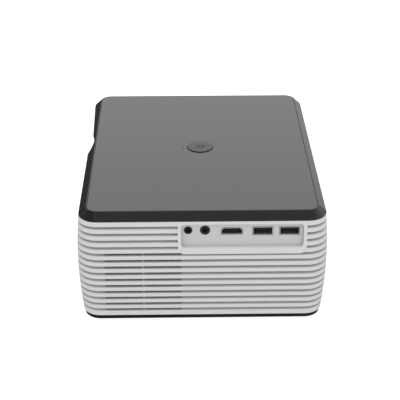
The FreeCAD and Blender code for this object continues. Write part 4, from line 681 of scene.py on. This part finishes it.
def turned(name, start, axis, centre, dims, edge, lean=0.0):
    """Ring whose rounded section is turned round an axis through a centre."""
    bpy.ops.mesh.primitive_plane_add(size=1, location=start, rotation=(lean, 0, 0))
    piece = bpy.context.object
    piece.name = name
    piece.scale = (dims[0], dims[1], 1)
    bpy.ops.object.transform_apply(location=True, rotation=True, scale=True)
    bpy.ops.object.mode_set(mode="EDIT")
    bpy.ops.mesh.select_all(action="SELECT")
    bpy.ops.mesh.bevel(offset=edge, segments=ROUND_STEPS, affect="VERTICES")
    bpy.ops.mesh.select_all(action="SELECT")
    bpy.ops.mesh.delete(type="ONLY_FACE")
    bpy.ops.mesh.select_all(action="SELECT")
    bpy.ops.mesh.spin(steps=TURN_STEPS, angle=2 * math.pi, center=centre, axis=axis)
    bpy.ops.mesh.select_all(action="SELECT")
    bpy.ops.mesh.remove_doubles(threshold=TURN_MERGE)
    bpy.ops.mesh.normals_make_consistent(inside=False)
    bpy.ops.object.mode_set(mode="OBJECT")
    return piece


def moved_copy(piece, shift):
    """Copy with its own mesh, set off by a shift."""
    only(piece)
    bpy.ops.object.duplicate()
    bpy.ops.transform.translate(value=shift)
    bpy.ops.object.transform_apply(location=True, rotation=True, scale=True)
    return bpy.context.object


def gathered(pieces, name):
    """Several loose blocks as one piece."""
    bpy.ops.object.select_all(action="DESELECT")
    for piece in pieces:
        piece.select_set(True)
    bpy.context.view_layer.objects.active = pieces[0]
    bpy.ops.object.join()
    pieces[0].name = name
    return pieces[0]


def finish_fitting(piece, body, slot):
    """Finish, shading, body and slot of a new piece."""
    piece.data.materials.clear()
    piece.data.materials.append(finish_of(slot))
    finish_piece(piece, body)


def lip(name, middle, dims, chamfer=0.0):
    """Rolled lip round a socket's mouth that looks along -Y; its upper corners may be cut."""
    bpy.ops.mesh.primitive_plane_add(size=1, location=middle, rotation=(math.pi / 2, 0, 0))
    piece = bpy.context.object
    piece.name = name
    piece.scale = (dims.x, dims.z, 1)
    bpy.ops.object.transform_apply(location=True, rotation=True, scale=True)
    if chamfer:
        for vertex in piece.data.vertices:
            vertex.select = vertex.co.z > middle.z
        for part in (*piece.data.edges, *piece.data.polygons):
            part.select = False
        bpy.ops.object.mode_set(mode="EDIT")
        bpy.ops.mesh.select_mode(type="VERT")
        bpy.ops.mesh.bevel(offset=chamfer, segments=1, affect="VERTICES")
    else:
        bpy.ops.object.mode_set(mode="EDIT")
    bpy.ops.mesh.select_mode(type="FACE")
    bpy.ops.mesh.select_all(action="SELECT")
    bpy.ops.mesh.inset(thickness=LIP_W)
    bpy.ops.mesh.delete(type="FACE")
    bpy.ops.mesh.select_all(action="SELECT")
    bpy.ops.mesh.extrude_region_move(TRANSFORM_OT_translate={"value": (0, dims.y, 0)})
    bpy.ops.mesh.select_all(action="SELECT")
    bpy.ops.mesh.normals_make_consistent(inside=False)
    bpy.ops.object.mode_set(mode="OBJECT")
    round_edges(piece, LIP_ROUND, ROUND_STEPS)
    return piece


def bright_nickel():
    """Brighter worn plating of the rolled lips."""
    return metal("lip_nickel", (0.36, 0.36, 0.365), 0.45, metallic=0.25)


class PROJECTOR_OT_lips(bpy.types.Operator):
    """Adds the rolled lips round the mouths of the metal sockets"""
    bl_idname = "projector.lips"
    bl_label = "Socket lips"

    def execute(self, context):
        plating = bright_nickel()
        low, high, middle = middle_of("usb_shells")
        dims = Vector((USB_SOCKET_W, LIP_T, high.z - low.z)) + Vector((LIP_OVER, 0, LIP_OVER))
        front = low.y - LIP_PROUD
        left = lip("usb_lip_left", Vector((low.x + USB_SOCKET_W / 2, front, middle.z)), dims)
        left.data.materials.append(plating)
        right = moved_copy(left, (high.x - low.x - USB_SOCKET_W, 0, 0))
        right.name = "usb_lip_right"
        for piece in (left, right):
            finish_piece(piece, body_of("usb_shells"))
        low, high, middle = middle_of("hdmi_shell")
        height = HDMI_SHELL_H + LIP_OVER
        centre = Vector((middle.x, low.y - LIP_PROUD, low.z + HDMI_SHELL_H / 2))
        dims = Vector((high.x - low.x + LIP_OVER, LIP_T, height))
        piece = lip("hdmi_lip", centre, dims, LIP_CHAMFER)
        piece.data.materials.append(plating)
        finish_piece(piece, body_of("hdmi_shell"))
        return {"FINISHED"}


class PROJECTOR_OT_contacts(bpy.types.Operator):
    """Adds the plated contacts of the sockets and the sleeves of the jacks"""
    bl_idname = "projector.contacts"
    bl_label = "Socket contacts"

    def execute(self, context):
        low, high, _ = middle_of("usb_shells")
        y = low.y + CONTACT_SETBACK + USB_CONTACT.y / 2
        z = high.z - USB_TONGUE_DOWN - USB_CONTACT.z / 2
        left = low.x + USB_SOCKET_W / 2
        right = high.x - USB_SOCKET_W / 2
        first_place = Vector((left + USB_CONTACTS[0], y, z))
        first = block("usb_contacts", first_place, USB_CONTACT, CONTACT_EDGE)
        shifts = [(start - left + place - USB_CONTACTS[0], 0, 0)
                  for start in (left, right) for place in USB_CONTACTS]
        strips = [first] + [moved_copy(first, shift) for shift in shifts[1:]]
        finish_fitting(gathered(strips, "usb_contacts"), body_of("usb_shells"), "pin_metal")

        low, high, middle = middle_of("hdmi_shell")
        y = low.y + CONTACT_SETBACK + HDMI_CONTACT.y / 2
        reach = HDMI_TONGUE_HALF + HDMI_CONTACT.z / 2
        z = high.z - HDMI_TONGUE_DOWN
        first_place = Vector((middle.x - (HDMI_UPPER - 1) / 2 * HDMI_PITCH, y, z + reach))
        first = block("hdmi_contacts", first_place, HDMI_CONTACT, CONTACT_EDGE / 2)
        shifts = [(step * HDMI_PITCH, 0, 0) for step in range(HDMI_UPPER)]
        shifts += [((step + 0.5) * HDMI_PITCH, 0, -2 * reach) for step in range(HDMI_LOWER)]
        strips = [first] + [moved_copy(first, shift) for shift in shifts[1:]]
        finish_fitting(gathered(strips, "hdmi_contacts"), body_of("hdmi_shell"), "pin_metal")

        low, _, middle = middle_of("audio_jack")
        centre = Vector((middle.x, low.y + JACK_SETBACK + JACK_SLEEVE.y / 2, low.z + JACK_AXIS_UP))
        start = centre + Vector((JACK_BORE_R - JACK_SLEEVE.x / 2, 0, 0))
        audio = turned("audio_jack_sleeve", start, (0, 1, 0), centre, JACK_SLEEVE,
                       JACK_SLEEVE.x / 4)
        video = moved_copy(audio, (middle_of("video_jack")[2].x - middle.x, 0, 0))
        video.name = "video_jack_sleeve"
        for sleeve, node in ((audio, "audio_jack"), (video, "video_jack")):
            finish_fitting(sleeve, body_of(node), "socket_metal")
        return {"FINISHED"}


class PROJECTOR_OT_lens_ring(bpy.types.Operator):
    """Adds the ring that holds the front lens in its barrel"""
    bl_idname = "projector.lens_ring"
    bl_label = "Lens retaining ring"

    def execute(self, context):
        low, _, middle = middle_of("lens_barrel")
        centre = Vector((low.x + RETAINER_BEHIND, middle.y, middle.z))
        start = centre + Vector((0, LENS_BORE_R - RETAINER.y / 2 - RETAINER_ROOM, 0))
        ring = turned("lens_retainer", start, (1, 0, 0), centre, RETAINER, RETAINER_EDGE)
        finish_fitting(ring, body_of("lens_barrel"), "ring_black")
        return {"FINISHED"}


class PROJECTOR_OT_hub_grips(bpy.types.Operator):
    """Adds the rubber seat and the sprung jaws that hold a disc on the hub"""
    bl_idname = "projector.hub_grips"
    bl_label = "Disc grips"

    def execute(self, context):
        _, high, middle = middle_of("spindle_hub")
        centre = Vector((middle.x, middle.y, high.z - NOSE_H + HUB_RING.y / 2))
        start = centre + Vector((HUB_RING_R, 0, 0))
        ring = turned("hub_seat_ring", start, (0, 0, 1), centre, HUB_RING, HUB_RING_EDGE,
                      lean=math.pi / 2)
        finish_fitting(ring, body_of("spindle_hub"), "rubber")
        jaw_place = Vector((middle.x + NOSE_R, middle.y, high.z - NOSE_H / 2))
        jaws = [block("hub_jaw", jaw_place, JAW, JAW_EDGE)]
        for number in range(1, JAWS):
            jaws.append(moved_copy(jaws[0], (0, 0, 0)))
            bpy.ops.transform.rotate(value=2 * math.pi * number / JAWS, orient_axis="Z",
                                     center_override=middle)
            bpy.ops.object.transform_apply(location=True, rotation=True, scale=True)
        finish_fitting(gathered(jaws, "hub_jaws"), body_of("spindle_hub"), "rod_steel")
        return {"FINISHED"}


# ---- panel ------------------------------------------------------------------------------------
OPERATORS = (PROJECTOR_OT_stage, PROJECTOR_OT_finishes, PROJECTOR_OT_shells, PROJECTOR_OT_lips,
             PROJECTOR_OT_contacts, PROJECTOR_OT_lens_ring, PROJECTOR_OT_hub_grips)


class PROJECTOR_PT_panel(bpy.types.Panel):
    """Settings and steps of the projector scene"""
    bl_label = "Projector"
    bl_idname = "PROJECTOR_PT_panel"
    bl_space_type = "VIEW_3D"
    bl_region_type = "UI"
    bl_category = "Projector"

    def draw(self, context):
        column = self.layout.column()
        for group in (sizes(), colours()):
            for key in group.bl_rna.properties.keys():
                if key not in ("rna_type", "name"):
                    column.prop(group, key)
        for operator in OPERATORS:
            column.operator(operator.bl_idname)


CLASSES = (*SETTING_GROUPS, *OPERATORS, PROJECTOR_PT_panel)


def register():
    """Adds the classes and their settings."""
    for kind in CLASSES:
        bpy.utils.register_class(kind)
    bpy.types.Scene.projector_sizes = PointerProperty(type=ProjectorSizes)
    bpy.types.Scene.projector_colours = PointerProperty(type=ProjectorColours)


def unregister():
    """Takes the classes and their settings out again."""
    del bpy.types.Scene.projector_colours
    del bpy.types.Scene.projector_sizes
    for kind in reversed(CLASSES):
        bpy.utils.unregister_class(kind)


def main():
    """Builds the scene step by step."""
    register()
    bpy.ops.object.select_all(action="DESELECT")
    bpy.ops.projector.stage()
    bpy.ops.projector.finishes()
    bpy.ops.projector.shells()
    bpy.ops.projector.lips()
    bpy.ops.projector.contacts()
    bpy.ops.projector.lens_ring()
    bpy.ops.projector.hub_grips()


if __name__ == "__main__":
    main()
